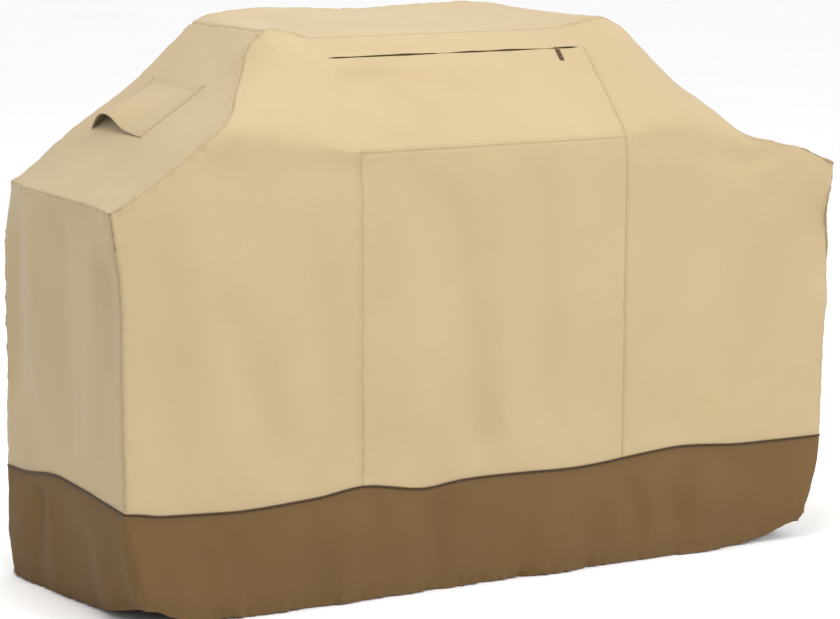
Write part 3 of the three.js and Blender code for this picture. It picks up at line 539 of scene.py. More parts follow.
def sculpt(p):
    n = vertex_normals(p, FACES)
    plain = p
    for row in FOLDS:
        p = fold(p, n, *row)
    # no fold reaches the zip's tapes
    from_slot = np.hypot(plain[:, 1] - SLOT.y, plain[:, 2] - SLOT.z)
    p = plain + (p - plain) * smoothstep((from_slot - 0.022) / 0.03)[:, None]
    x, y, z = p.copy().T
    down = np.clip((PIPING_Z - z) / PIPING_Z, 0, 1)
    # the corners of the hem are drawn up and in
    corner = bell(np.abs(x) - HALF_LENGTH_HEM, 0.10) * bell(y + HALF_DEPTH_HEM, 0.16)
    low = down ** 1.4
    p[:, 2] += HEM_CORNER_RISE * corner * low
    p[:, 0] -= np.sign(x) * HEM_CORNER_DRAW * corner * low ** 2
    for side, wall, shift, high in SHELF_PULLS:
        near = bell(x - side * HALF_LENGTH, 0.10) * bell(y - wall * HALF_DEPTH, 0.10)
        p[:, 0] += shift * near * bell(z - SHELF_Z, high)
    # the right shoulder has nothing under its front edge and sags there
    sag = SHOULDER_SAG * bell(x - 0.655, 0.115) * bell(y + 0.31, 0.20)
    p[:, 2] -= sag * smoothstep((z - 0.80) / 0.22)
    # the front's two upper corners are rounded lobes that stand a little proud
    for side, shift, rise in LOBES:
        line = p[cover.index["front"][side * cover.xs > CENTRE_HALF, -1]]
        spot = line[np.argmin(np.abs(np.abs(line[:, 0]) - TOP_SPLIT_X - 0.025))]
        near = bell(np.linalg.norm(p - spot, axis=1), 0.055)
        p[:, 0] += shift * near
        p[:, 2] += rise * near
    # slack cloth bunches along the right shoulder's seam
    seam = p[cover.index["front"][cover.xs > CENTRE_HALF, -1]]
    gaps = np.linalg.norm(p[:, None] - seam[None], axis=-1).min(axis=1)
    p[:, 2] += bell(gaps, 0.028) * ripple(x, BUNCHING, 33)
    # the skirt bellies out below the piping and is drawn in at the hem
    belly = (down - down ** 3) * 1.1
    ends = np.abs(x) > HALF_LENGTH_HEM - 0.03 + 0.028 * (1 - down) - 0.012
    p += n * np.where(ends, BELLY_END, BELLY_LONG)[:, None] * belly[:, None]
    # gathers, stronger towards the hem, kept off the drawcord and the straps
    s = perimeter_of(p)
    calm = 1 - bell(x, 0.12) * (y > 0.2)
    patches = 0.5 + 0.5 * np.sin(2 * math.pi * s / 0.83 + 1.1)
    waves = ripple(s, BROAD_GATHERS, 3)
    waves += (0.4 + patches) * ripple(s, FINE_GATHERS, 9) * down ** 1.7
    waves = np.where(ends & (np.abs(y) < 0.15) & (waves < 0), 0, waves)
    p += n * (waves * smoothstep(down * 1.3) * calm)[:, None]
    for a, b, width, height in SKIRT_FOLDS:
        moved = fold(p, n, a, b, width * SKIRT_FOLD_WIDTH, height * SKIRT_FOLD_HEIGHT)
        p += (moved - p) * smoothstep(down * 4)[:, None]
    # the piping wanders up and down
    front = smoothstep((0.05 - y) / 0.2)
    lift = np.full(len(p), -0.004)
    for place, width, height in PIPING_LIFTS:
        lift += front * height * bell(x - place, width)
    lift += 0.022 * smoothstep((-0.80 - x) / 0.08) * bell(y - 0.02, 0.20)
    lift += (1 - front) * ripple(s, PIPING_WANDER, 11)
    p[:, 2] += np.where(z < PIPING_Z, z / PIPING_Z, bell(z - PIPING_Z, 0.10)) * lift
    # the left end hangs straight at the back instead of drawing in
    p[:, 0] -= 0.024 * down * ends * (x < 0) * smoothstep((y + 0.10) / 0.30)
    p[:, 2] = np.maximum(p[:, 2], 0.0008)
    return p


def rounded(p, times, share, where=1.0):
    """Rounds hard corners: each point moves part of the way to its neighbours' middle."""
    edges = np.stack([FACES, np.roll(FACES, -1, axis=1)], axis=-1).reshape(-1, 2)
    edges = np.unique(np.sort(edges, axis=1), axis=0)
    a, b = edges.T
    hits = np.bincount(edges.ravel(), minlength=len(p))
    free = (1 - zip_hold) * where
    for _ in range(times):
        total = np.zeros_like(p)
        np.add.at(total, a, p[b])
        np.add.at(total, b, p[a])
        n = vertex_normals(p, FACES)
        shift = np.sum((total / hits[:, None] - p) * n, axis=1)
        p = p + n * (share * shift * free)[:, None]
    return p


points = rounded(sculpt(points), 7, 0.6)
# the shelf corners are rounded further
from_corner = np.abs(cover.points) - [HALF_LENGTH, HALF_DEPTH, SHELF_Z]
points = rounded(points, 36, 0.7, bell(np.linalg.norm(from_corner, axis=1), 0.08))


# ---- the fine mesh ------------------------------------------------------------------------
PANELS = sorted(set(quad_panels))


def refine(points, faces):
    """One step of subdivision that carries each face's panel and its place in the pattern."""
    coarse = new_object("coarse", points, faces)
    attribute = coarse.data.attributes.new("panel", "INT", "FACE")
    attribute.data.foreach_set("value", [PANELS.index(name) for name in quad_panels])
    lay_pattern(coarse, quad_places)
    coarse.modifiers.new("Subdivision", "SUBSURF").levels = 1
    fine = coarse.evaluated_get(bpy.context.evaluated_depsgraph_get()).to_mesh()
    count = len(fine.vertices)
    p = np.empty(count * 3)
    fine.vertices.foreach_get("co", p)
    f = np.empty(len(fine.polygons) * 4, dtype=int)
    fine.loops.foreach_get("vertex_index", f)
    panel = np.empty(len(fine.polygons), dtype=int)
    fine.attributes["panel"].data.foreach_get("value", panel)
    uv = np.empty(len(fine.loops) * 2)
    fine.uv_layers["pattern"].data.foreach_get("uv", uv)
    bpy.data.objects.remove(coarse, do_unlink=True)
    return p.reshape(-1, 3), f.reshape(-1, 4), panel, uv.reshape(-1, 4, 2)


fine_points, fine_faces, fine_panel, fine_uv = refine(points, FACES)
fine_normals = vertex_normals(fine_points, fine_faces)


# ---- seams --------------------------------------------------------------------------------
def column(x):
    return int(np.argmin(abs(cover.xs - x)))


def seam_paths():
    """Grid vertices along each seam: [name, ids, ids of the lines beside it, size of puckers]."""
    front, back, top = cover.index["front"], cover.index["back"], cover.index["top"]
    base, crease, slot = cover.piping_row, cover.crease_row, cover.slot_row
    left, right = column(-CENTRE_HALF), column(CENTRE_HALF)
    split_l, split_r = column(-TOP_SPLIT_X), column(TOP_SPLIT_X)
    last = len(cover.xs) - 1
    found = []

    def add(name, line, *beside, pucker):
        found.append((name, line, beside, pucker))

    add("front_left", front[left, base:crease + 1], front[left - 1, base:crease + 1], pucker=0.0007)
    add("front_right", front[right, base:slot], front[right + 1, base:slot], pucker=0.0005)
    add("crease", front[left:right + 1, crease], front[left:right + 1, crease + 1], pucker=0.0003)
    add("hood_top", front[left:right + 1, -1], top[left:right + 1, 1], pucker=0.0005)
    add("shoulder_left", front[:left + 1, -1], front[:left + 1, -2], top[:left + 1, 1],
        pucker=0.0010)
    add("shoulder_right", front[right:, -1], front[right:, -2], top[right:, 1], pucker=0.0010)
    add("top_left", top[split_l, :], top[split_l + 1, :], pucker=0.0007)
    add("top_right", top[split_r, :], top[split_r - 1, :], pucker=0.0007)
    for name, end in (("left", 0), ("right", last)):
        rows = cover.index[name]
        beside = front[1 if end == 0 else last - 1, base:]
        add("corner_" + name, front[end, base:], rows[1, base:], beside, pucker=0.0008)
        add("back_corner_" + name, back[end, base:], rows[-2, base:], pucker=0.0007)
        add("shelf_" + name, top[end, :], rows[:, -2], pucker=0.0011)
    add("back_left", back[left, base:], back[left - 1, base:], pucker=0.0006)
    add("back_right", back[right, base:], back[right + 1, base:], pucker=0.0006)
    add("back_rim", back[:, -1], back[:, -2], pucker=0.0007)
    return found


def round_loop(row_of):
    """Vertex ids once round the cover, given the row to take on each wall."""
    front, back = cover.index["front"][:, row_of], cover.index["back"][:, row_of]
    left, right = cover.index["left"][:, row_of], cover.index["right"][:, row_of]
    return np.concatenate([front[:-1], right[:-1], back[::-1][:-1], left[::-1][:-1]])


SEAMS = seam_paths()
SEAM_STEP, SEAM_REACH = 0.003, 0.05
SEAM_PUCKERS = [(0.043, 0.6), (0.029, 0.5), (0.071, 0.7)]
# how close each point is to a seam: the weight of the painted shade that darkens the cloth along its
# seams
seam_shade = np.zeros(len(fine_points))


def press_seams(p, n):
    """Sinks each seam a little, puckers the cloth beside it and notes how close each point is, for
    the painted shade along the seams.
    """
    for number, (name, line, _, pucker) in enumerate(SEAMS):
        path = p[line]
        steps = arc_lengths(path)
        count = max(int(steps[-1] / SEAM_STEP), 2)
        even = np.linspace(0, steps[-1], count)
        dense = sampled(path, steps, even)
        tree = KDTree(count)
        for k, spot in enumerate(dense):
            tree.insert(spot, k)
        tree.balance()
        low, high = path.min(axis=0) - SEAM_REACH, path.max(axis=0) + SEAM_REACH
        near = np.flatnonzero(np.all((p > low) & (p < high), axis=1))
        distance, where = np.empty(len(near)), np.empty(len(near))
        for k, vertex in enumerate(near):
            _, nearest, gap = tree.find(p[vertex])
            distance[k], where[k] = gap, even[nearest]
        if name != "back_rim":
            # painted shade: the closeness to each seam darkens the cloth's colour there, in place of
            # the shade in the seam's groove
            seam_shade[near] = np.maximum(seam_shade[near], bell(distance, 0.0021))
        groove = -0.0015 * bell(distance, 0.0022) + 0.0008 * bell(distance - 0.007, 0.004)
        waves = ripple(where, SEAM_PUCKERS, 20 + number)
        lump = pucker * waves * bell(distance, 0.020) * np.clip(distance / 0.004, 0, 1)
        p[near] += n[near] * (groove + lump)[:, None]
    return p


fine_points = press_seams(fine_points, fine_normals)
# the hem is scalloped by its elastic, but not where the drawcord comes out
HEM_SCALLOPS = [(0.034, 0.0018), (0.026, 0.0014)]
hem_near = np.exp(-np.clip(fine_points[:, 2] - 0.004, 0, 1) / 0.022)
hem_near *= fine_points[:, 2] < PIPING_Z
scallop = ripple(perimeter_of(fine_points), HEM_SCALLOPS, 71)
scallop *= 1 - bell(fine_points[:, 0], 0.13) * (fine_points[:, 1] > 0.2)
fine_points += fine_normals * [1, 1, 0] * (scallop * hem_near)[:, None]
lowest = smoothstep((0.02 - fine_points[:, 2]) / 0.02)
fine_points[:, 2] += lowest * (0.0012 + 0.6 * np.abs(scallop))
fine_normals = vertex_normals(fine_points, fine_faces)


# ---- materials ----------------------------------------------------------------------------
class Finish:
    """A procedural material built up node by node."""

    def __init__(self, name, roughness, metallic=0.0, specular=0.3, sheen=0.0):
        self.material = bpy.data.materials.new(name)
        self.material.use_nodes = True
        self.tree = self.material.node_tree
        self.shader = self.tree.nodes["Principled BSDF"]
        self.shader.inputs["Metallic"].default_value = metallic
        self.shader.inputs["Specular IOR Level"].default_value = specular
        self.shader.inputs["Sheen Weight"].default_value = sheen
        self.shader.inputs["Roughness"].default_value = roughness
        self.coords = self.tree.nodes.new("ShaderNodeTexCoord")

    def set(self, socket, value):
        if isinstance(value, bpy.types.NodeSocket):
            self.tree.links.new(value, socket)
        else:
            socket.default_value = value

    def math(self, operation, a, b=0.0):
        node = self.tree.nodes.new("ShaderNodeMath")
        node.operation = operation
        self.set(node.inputs[0], a)
        self.set(node.inputs[1], b)
        return node.outputs[0]

    def noise(self, scale, detail=3.0, stretch=(1, 1, 1)):
        mapping = self.tree.nodes.new("ShaderNodeMapping")
        mapping.inputs["Scale"].default_value = stretch
        self.tree.links.new(self.coords.outputs["Object"], mapping.inputs["Vector"])
        node = self.tree.nodes.new("ShaderNodeTexNoise")
        node.inputs["Scale"].default_value = scale
        node.inputs["Detail"].default_value = detail
        self.tree.links.new(mapping.outputs["Vector"], node.inputs["Vector"])
        return node.outputs["Fac"]

    def remap(self, value, low, high, new_low, new_high):
        node = self.tree.nodes.new("ShaderNodeMapRange")
        for socket, number in zip(node.inputs[1:5], (low, high, new_low, new_high)):
            socket.default_value = number
        self.set(node.inputs[0], value)
        return node.outputs[0]

    def weave(self, pitch, space="UV"):
        """Height of a plain weave: threads of the given pitch going over and under."""
        split = self.tree.nodes.new("ShaderNodeSeparateXYZ")
        self.tree.links.new(self.coords.outputs[space], split.inputs[0])
        waves = [self.math("SINE", self.math("MULTIPLY", split.outputs[k], math.pi / pitch))
                 for k in (0, 1)]
        over = self.math("MULTIPLY", waves[0], waves[1])
        threads = self.math("ADD", *[self.math("ABSOLUTE", wave) for wave in waves])
        return self.math("ADD", self.math("MULTIPLY", over, 0.5),
                         self.math("MULTIPLY", threads, 0.35))

    def paint(self, colour, *factors):
        """Base colour scaled by each factor in turn."""
        value = None
        for factor in factors:
            value = factor if value is None else self.math("MULTIPLY", value, factor)
        node = self.tree.nodes.new("ShaderNodeVectorMath")
        node.operation = "SCALE"
        node.inputs[0].default_value = colour
        self.set(node.inputs["Scale"], value)
        self.tree.links.new(node.outputs[0], self.shader.inputs["Base Color"])

    def bump(self, height, distance, strength=1.0, under=None):
        node = self.tree.nodes.new("ShaderNodeBump")
        node.inputs["Strength"].default_value = strength
        node.inputs["Distance"].default_value = distance
        self.set(node.inputs["Height"], height)
        if under is not None:
            self.tree.links.new(under, node.inputs["Normal"])
        self.tree.links.new(node.outputs[0], self.shader.inputs["Normal"])
        return node.outputs[0]

    def rough(self, value, low, high):
        self.set(self.shader.inputs["Roughness"], self.remap(value, 0.3, 0.7, low, high))


def srgb(*values):
    return tuple((v / 255 / 12.92) if v / 255 <= 0.04045 else ((v / 255 + 0.055) / 1.055) ** 2.4
                 for v in values)


def cloth_finish(name, colour, pitch=0.0011, mottle=0.05, sheen=0.12, specular=0.22):
    finish = Finish(name, 0.8, specular=specular, sheen=sheen)
    finish.shader.inputs["Sheen Roughness"].default_value = 0.5
    weave = finish.weave(pitch)
    broad = finish.remap(finish.noise(3.2, 4), 0.3, 0.7, 1 - mottle, 1 + mottle * 0.6)
    slub = finish.remap(finish.noise(420, 2, (1, 1, 0.12)), 0.3, 0.7, 0.985, 1.012)
    thread = finish.remap(weave, -0.4, 1.2, 0.90, 1.05)
    # painted shade along the seams: the base colour is darkened to 0.8 close to each seam, in place
    # of the shade in its groove
    painted_seam_shade = finish.tree.nodes.new("ShaderNodeAttribute")
    painted_seam_shade.attribute_name = "seam"
    seam = finish.remap(painted_seam_shade.outputs["Fac"], 0.0, 1.0, 1.0, 0.80)
    finish.paint(colour, broad, slub, thread, seam)
    finish.rough(finish.noise(9, 3), 0.72, 0.90)
    crease = finish.bump(finish.noise(34, 5), 0.0016, 0.35)
    finish.bump(weave, 0.00022, 0.6, crease)
    return finish.material


def ribbed_finish(name, colour, pitch, roughness=0.75, height=0.0003):
    """Woven tape, webbing, braid: ribs one way and slubs the other."""
    finish = Finish(name, roughness, specular=0.25, sheen=0.1)
    weave = finish.weave(pitch, "Object")
    finish.paint(colour, finish.remap(weave, -0.4, 1.2, 0.72, 1.12),
                 finish.remap(finish.noise(60, 3), 0.3, 0.7, 0.88, 1.08))
    finish.rough(finish.noise(150, 2), roughness - 0.08, roughness + 0.1)
    finish.bump(weave, height, 0.8)
    return finish.material


def moulded_finish(name, colour, roughness, metallic=0.0, grain=900.0, height=0.00008):
    """Moulded plastic or plated metal: fine grain, handling marks and uneven gloss."""
    finish = Finish(name, roughness, metallic, specular=0.5)
    finish.paint(colour, finish.remap(finish.noise(45, 4), 0.3, 0.7, 0.85, 1.1),
                 finish.remap(finish.noise(grain, 2), 0.3, 0.7, 0.93, 1.05))
    finish.rough(finish.noise(130, 4, (1, 1, 4)), roughness - 0.1, roughness + 0.15)
    finish.bump(finish.noise(grain, 3), height, 0.6)
    return finish.material


PALE = srgb(168, 149, 115)
DARK = srgb(101, 78, 49)
FINISHES = {
    "cloth_pale": cloth_finish("cloth_pale", PALE),
    "cloth_dark": cloth_finish("cloth_dark", DARK, sheen=0.02, specular=0.12),
    "lining": cloth_finish("lining", srgb(150, 135, 108), pitch=0.0016, sheen=0.0),
    "piping": ribbed_finish("piping", srgb(58, 39, 16), 0.0012),
    "vent_mesh": moulded_finish("vent_mesh", srgb(58, 48, 36), 0.55),
    "zip_tape": ribbed_finish("zip_tape", srgb(166, 146, 108), 0.0009),
    "zip_metal": moulded_finish("zip_metal", srgb(150, 128, 92), 0.35, metallic=0.85),
    "pull_tab": ribbed_finish("pull_tab", srgb(72, 50, 28), 0.0012, 0.6),
    "elastic": ribbed_finish("elastic", srgb(44, 38, 32), 0.0011, 0.8),
    "webbing": ribbed_finish("webbing", srgb(58, 50, 40), 0.0016, 0.7),
    "buckle_plastic": moulded_finish("buckle_plastic", srgb(30, 29, 28), 0.38),
    "steel": moulded_finish("steel", srgb(190, 188, 184), 0.28, metallic=1.0, height=0.00003),
}
THREAD_PALE = ribbed_finish("thread_pale", srgb(186, 166, 128), 0.0004, 0.7)
THREAD_DARK = ribbed_finish("thread_dark", srgb(104, 81, 53), 0.0004, 0.7)


# ---- pieces -------------------------------------------------------------------------------
def finished(obj, slot, body, nodes=(), material=None, smooth=True):
    """Gives a piece its material, its body and the CAD nodes it stands for."""
    obj.data.materials.clear()
    obj.data.materials.append(material or FINISHES[slot])
    obj.data.polygons.foreach_set("use_smooth", [smooth] * len(obj.data.polygons))
    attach(obj, body)
    if nodes:
        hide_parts(*nodes)
    return obj


def thicken(obj, thickness, offset=-1.0):
    modifier = obj.modifiers.new("Thickness", "SOLIDIFY")
    modifier.thickness = thickness
    modifier.offset = offset
    return modifier


def cloth_shell(name, points, normals, faces, uv, thickness, shade=None):
    """Cloth of a real thickness: the outer face where the points are, an inner one and a rim."""
    used, flat = np.unique(faces, return_inverse=True)
    faces = flat.reshape(faces.shape)
    outer, out = points[used], normals[used]
    count = len(used)
    edges = np.stack([faces, np.roll(faces, -1, axis=1)], axis=-1).reshape(-1, 2)
    corners = np.stack([uv, np.roll(uv, -1, axis=1)], axis=2).reshape(-1, 2, 2)
    _, index, hits = np.unique(np.sort(edges, axis=1), axis=0, return_inverse=True,
                               return_counts=True)
    rim = hits[index.ravel()] == 1
    a, b = edges[rim].T
    rim_faces = np.stack([b, a, a + count, b + count], axis=-1)
    rim_uv = corners[rim][:, [1, 0, 0, 1]]
    every = np.vstack([faces, faces[:, ::-1] + count, rim_faces])
    obj = new_object(name, np.vstack([outer, outer - out * thickness]), every)
    lay_pattern(obj, np.concatenate([uv, uv[:, ::-1], rim_uv]))
    if shade is not None:
        # the closeness to the seams, kept for the painted shade along them
        seam = obj.data.attributes.new("seam", "FLOAT", "POINT")
        seam.data.foreach_set("value", np.tile(shade[used], 2))
    obj.data.polygons.foreach_set("use_smooth", [True] * len(every))
    obj.data.normals_split_custom_set_from_vertices([tuple(v) for v in np.vstack([out, -out])])
    return obj


def face_centres(points, faces):
    return points[faces].mean(axis=1)


CLOTH_THICKNESS = 0.0015
centres = face_centres(fine_points, fine_faces)
VENT_X = (0.585, 0.665)
VENT_Y = (0.010, 0.175)
in_vent = ((np.abs(centres[:, 0]) > VENT_X[0]) & (np.abs(centres[:, 0]) < VENT_X[1])
           & (centres[:, 1] > VENT_Y[0]) & (centres[:, 1] < VENT_Y[1]))

# The mouth over the zip: the hood's front stops below the line and the flap above it, both waving
# a little, and they meet at the two ends.
panel_of = np.array(PANELS)[fine_panel]
hood_up = np.array([0, SLOT.y + HALF_DEPTH, SLOT.z - CREASE_Z])
hood_up /= np.linalg.norm(hood_up)
mouth_open = smoothstep((CENTRE_HALF - 0.003 - np.abs(fine_points[:, 0])) / 0.035)
mouth_wave = ripple(fine_points[:, 0], [(0.27, 0.5), (0.15, 0.4), (0.083, 0.2)], 41)
below = np.clip(-((fine_points - np.array(SLOT)) @ hood_up), 0, 1)
mouth_low = np.exp(-below / 0.014) * mouth_open
hood_points = fine_points - hood_up * (mouth_low * (0.0020 + 0.0007 * mouth_wave))[:, None]
hood_points -= fine_normals * (mouth_low * (0.0004 + 0.0004 * mouth_wave))[:, None]
PANEL_NODES = {
    "end_left": "end_left_panel", "end_right": "end_right_panel", "top": "top_panel",
    "shoulder_left": "shoulder_left_panel", "shoulder_right": "shoulder_right_panel",
    "front_centre": "front_centre_panel", "front_left": "front_left_panel",
    "front_right": "front_right_panel", "back_centre": "back_centre_panel",
    "back_left": "back_left_panel", "back_right": "back_right_panel",
    "hood_front": "hood_front_panel",
}
for name, node in PANEL_NODES.items():
    chosen = panel_of == name
    if name.startswith("shoulder"):
        chosen &= ~in_vent
    source = hood_points if name == "hood_front" else fine_points
    obj = cloth_shell(name + "_cloth", source, fine_normals, fine_faces[chosen], fine_uv[chosen],
                      CLOTH_THICKNESS, seam_shade)
    finished(obj, "cloth_pale", "cover", [node])

chosen = panel_of == "skirt"
skirt = cloth_shell("skirt_cloth", fine_points, fine_normals, fine_faces[chosen], fine_uv[chosen],
                    CLOTH_THICKNESS)
finished(skirt, "cloth_dark", "cover",
         ["skirt_front_panel", "skirt_back_panel", "skirt_left_panel", "skirt_right_panel"])


# ---- lines on the cloth: piping, hem, stitches --------------------------------------------
def loop_points(row):
    return fine_points[round_loop(row)], fine_normals[round_loop(row)]


def tube(name, path, radius, sides, closed, squash=(1.0, 1.0)):
    """A tube along a path; squash flattens it across its two directions."""
    path = np.array(path, float)
    if closed:
        tangent = np.roll(path, -1, axis=0) - np.roll(path, 1, axis=0)
    else:
        tangent = np.gradient(path, axis=0)
    tangent /= np.linalg.norm(tangent, axis=1, keepdims=True)
    up = np.array([0, 0, 1.0]) if abs(tangent[:, 2]).mean() < 0.8 else np.array([0, 1.0, 0])
    side = np.cross(tangent, up)
    side /= np.linalg.norm(side, axis=1, keepdims=True)
    rise = np.cross(side, tangent)
    turn = np.linspace(0, 2 * math.pi, sides, endpoint=False)
    rings = (path[:, None] + radius * (side[:, None] * (np.cos(turn) * squash[0])[None, :, None]
                                       + rise[:, None] * (np.sin(turn) * squash[1])[None, :, None]))
    count = len(path)
    faces = []
    for i in range(count if closed else count - 1):
        j = (i + 1) % count
        for k in range(sides):
            m = (k + 1) % sides
            faces.append((i * sides + k, i * sides + m, j * sides + m, j * sides + k))
    points = rings.reshape(-1, 3)
    obj = new_object(name, points, faces)
    if not closed:
        grown = bmesh.new()
        grown.from_mesh(obj.data)
        for edge_ring in (0, count - 1):
            grown.verts.ensure_lookup_table()
            ring = [grown.verts[edge_ring * sides + k] for k in range(sides)]
            grown.faces.new(ring if edge_ring else ring[::-1])
        grown.normal_update()
        grown.to_mesh(obj.data)
        grown.free()
    return obj


def soften(line, times=2):
    for _ in range(times):
        line = 0.5 * line + 0.25 * (np.roll(line, 1, axis=0) + np.roll(line, -1, axis=0))
    return line


ring, ring_normals = loop_points(cover.piping_row)
piping = tube("skirt_piping_cord", soften(ring + ring_normals * 0.0014), PIPING_RADIUS, 10, True)
finished(piping, "piping", "cover", ["skirt_piping"])

# The hem is turned in and up over the elastic: a soft roll inside the foot of the skirt.
HEM_PROFILE = [(1.0, -0.0017), (0.92, -0.0050), (0.70, -0.0100), (0.45, -0.0122), (0.20, -0.0104),
               (0.06, -0.0064), (0.0, -0.0016)]
foot, foot_normals = loop_points(0)
brow, _ = loop_points(cover.casing_row)
flat_normals = foot_normals * [1, 1, 0]
flat_normals /= np.linalg.norm(flat_normals, axis=1, keepdims=True)
rows = [foot + (brow - foot) * share + flat_normals * inset for share, inset in HEM_PROFILE]
count, levels = len(foot), len(rows)
roll_faces = [(j * count + i, j * count + (i + 1) % count, (j + 1) * count + (i + 1) % count,
               (j + 1) * count + i) for j in range(levels - 1) for i in range(count)]
roll_points = np.vstack(rows)
roll_points[:, 2] = np.maximum(roll_points[:, 2], 0.0012)
hem = new_object("hem_roll", roll_points, roll_faces)
round_lengths = arc_lengths(foot)
HEM_ROW_HEIGHT = 0.005
lay_pattern(hem, [(round_lengths[k % count], HEM_ROW_HEIGHT * (k // count))
                  for face in roll_faces for k in face])
thicken(hem, 0.001, 0.0)
finished(hem, "cloth_dark", "cover",
         ["hem_casing_front", "hem_casing_back", "hem_casing_left", "hem_casing_right"])

elastic_line = foot + (brow - foot) * 0.5 - flat_normals * 0.0084
elastic = tube("hem_elastic_cord", soften(elastic_line, 5), 0.0017, 8, True, (0.8, 1.6))
finished(elastic, "elastic", "cover", ["hem_elastic"])


# ---- stitches -----------------------------------------------------------------------------
surface = BVHTree.FromPolygons([Vector(p) for p in fine_points], fine_faces.tolist())
STITCH = 0.0030
STITCH_PITCH = 0.0042
STITCH_RADIUS = 0.00038
STITCH_LIFT = 0.00018
BEAD = [(-0.5, 0.35, -0.8), (-0.25, 1.0, 0.4), (0.25, 1.0, 0.4), (0.5, 0.35, -0.8)]


def stitched(name, lines, material, slot):
    """Thread beads, a row of them along each line of [points, normals], as one mesh."""
    points, faces = [], []
    for path, normals_on in lines:
        steps = arc_lengths(path)
        count = int(steps[-1] / STITCH_PITCH)
        at = (np.arange(count) + 0.5) * STITCH_PITCH
        spots, out = sampled(path, steps, at), sampled(normals_on, steps, at)
        along_line = sampled(path, steps, at + 0.001) - spots
        along_line /= np.maximum(np.linalg.norm(along_line, axis=1, keepdims=True), 1e-9)
        out /= np.linalg.norm(out, axis=1, keepdims=True)
        across = np.cross(along_line, out)
        for spot, u, v, w in zip(spots, along_line, across, out):
            start = len(points)
            for place, size, lift in BEAD:
                centre = spot + u * (place * STITCH) + w * (STITCH_LIFT + lift * 0.0002)
                for a, b in ((1, 0), (0, 1), (-1, 0), (0, -1)):
                    points.append(centre + (v * a + w * b) * STITCH_RADIUS * size)
            for ring in range(3):
                for k in range(4):
                    m = (k + 1) % 4
                    base = start + ring * 4
                    faces.append((base + k, base + m, base + 4 + m, base + 4 + k))
            faces.append((start + 3, start + 2, start + 1, start))
            faces.append((start + 12, start + 13, start + 14, start + 15))
    obj = new_object(name, points, faces)
    return finished(obj, slot, "cover", material=material)


def projected(path):
    """Points of a path moved onto the cloth, with the cloth's normals there."""
    spots, out = [], []
    for p in path:
        place, normal, _, gap = surface.find_nearest(Vector(p))
        spots.append(place)
        out.append(normal)
    return np.array(spots), np.array(out)


def beside(line, neighbour, gap):
    """A seam's line moved into the cloth beside it by a gap."""
    path, near = fine_points[line], fine_points[neighbour]
    away = near - path
    away /= np.maximum(np.linalg.norm(away, axis=1, keepdims=True), 1e-9)
    return projected(path + away * gap)


pale_lines = []
for name, line, neighbours, _ in SEAMS:
    for neighbour in neighbours:
        pale_lines.append(beside(line, neighbour, 0.0032))
        if name.startswith(("front", "corner", "crease", "top", "shoulder")):
            pale_lines.append(beside(line, neighbour, 0.0088))


def row_line(row, toward, gap):
    line, near = round_loop(row), round_loop(toward)
    spots, out = beside(line, near, gap)
    return np.vstack([spots, spots[:1]]), np.vstack([out, out[:1]])


pale_lines.append(row_line(cover.piping_row, cover.piping_row + 1, 0.0045))
dark_lines = [row_line(cover.piping_row, cover.piping_row - 1, 0.0045),
              row_line(cover.casing_row, cover.casing_row + 1, 0.0002)]


# ---- the zip in the hood ------------------------------------------------------------------
ZIP_LEAN = math.radians(38)
ZIP_UP = np.array([0, math.cos(ZIP_LEAN), math.sin(ZIP_LEAN)])
ZIP_OUT = np.array([0, -math.sin(ZIP_LEAN), math.cos(ZIP_LEAN)])
FLAP_BACK = 0.0007        # the flap stops this far above the zip's line
chosen = panel_of == "hood_band"
band_faces, band_uv = fine_faces[chosen], fine_uv[chosen]
slope = np.array([0, FLAP_TOP.y - SLOT.y, FLAP_TOP.z - SLOT.z])
slope_length = np.linalg.norm(slope)
slope /= slope_length
slope_out = np.cross([1.0, 0, 0], slope)
band_height = (fine_points - np.array(SLOT)) @ slope / slope_length
low_edge = np.clip(1 - band_height, 0, 1)
flap_points = fine_points.copy()
flap_points += slope * (low_edge ** 3 * mouth_open * (FLAP_BACK + 0.0005 * mouth_wave))[:, None]
flap_points += slope_out * (low_edge ** 2 * mouth_open * (0.0012 + 0.0012 * mouth_wave))[:, None]
flap = cloth_shell("zip_flap_cloth", flap_points, fine_normals, band_faces, band_uv, 0.0014)
finished(flap, "cloth_pale", "zip_flap", ["zip_flap"])
band = cloth_shell("hood_band_lining",
                   fine_points - slope_out * 0.0032 + slope * (low_edge * 0.0065)[:, None],
                   fine_normals, band_faces, band_uv, 0.0010)
finished(band, "lining", "cover", ["hood_upper_band"])


def zip_coil(name, sign, node):
    """Nylon coil teeth: a flattened helix sewn along the tape."""
    low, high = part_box(node)
    pitch = 0.0018
    turns = int((high.x - low.x - 0.002) / pitch)
    turn = np.linspace(0, 2 * math.pi * turns, turns * 8)
    x = low.x + 0.001 + turn / (2 * math.pi) * pitch
    up = sign * (0.00138 + 0.00095 * np.cos(turn))
    out = -0.0054 + 0.00062 * np.sin(turn)
    path = np.stack([x, SLOT.y + ZIP_UP[1] * up + ZIP_OUT[1] * out,
                     SLOT.z + ZIP_UP[2] * up + ZIP_OUT[2] * out], axis=-1)
    return finished(tube(name, path, 0.00030, 5, False), "zip_metal", "cover", [node])


zip_coil("zip_coil_teeth_lower", -1, "zip_coil_lower")
zip_coil("zip_coil_teeth_upper", 1, "zip_coil_upper")


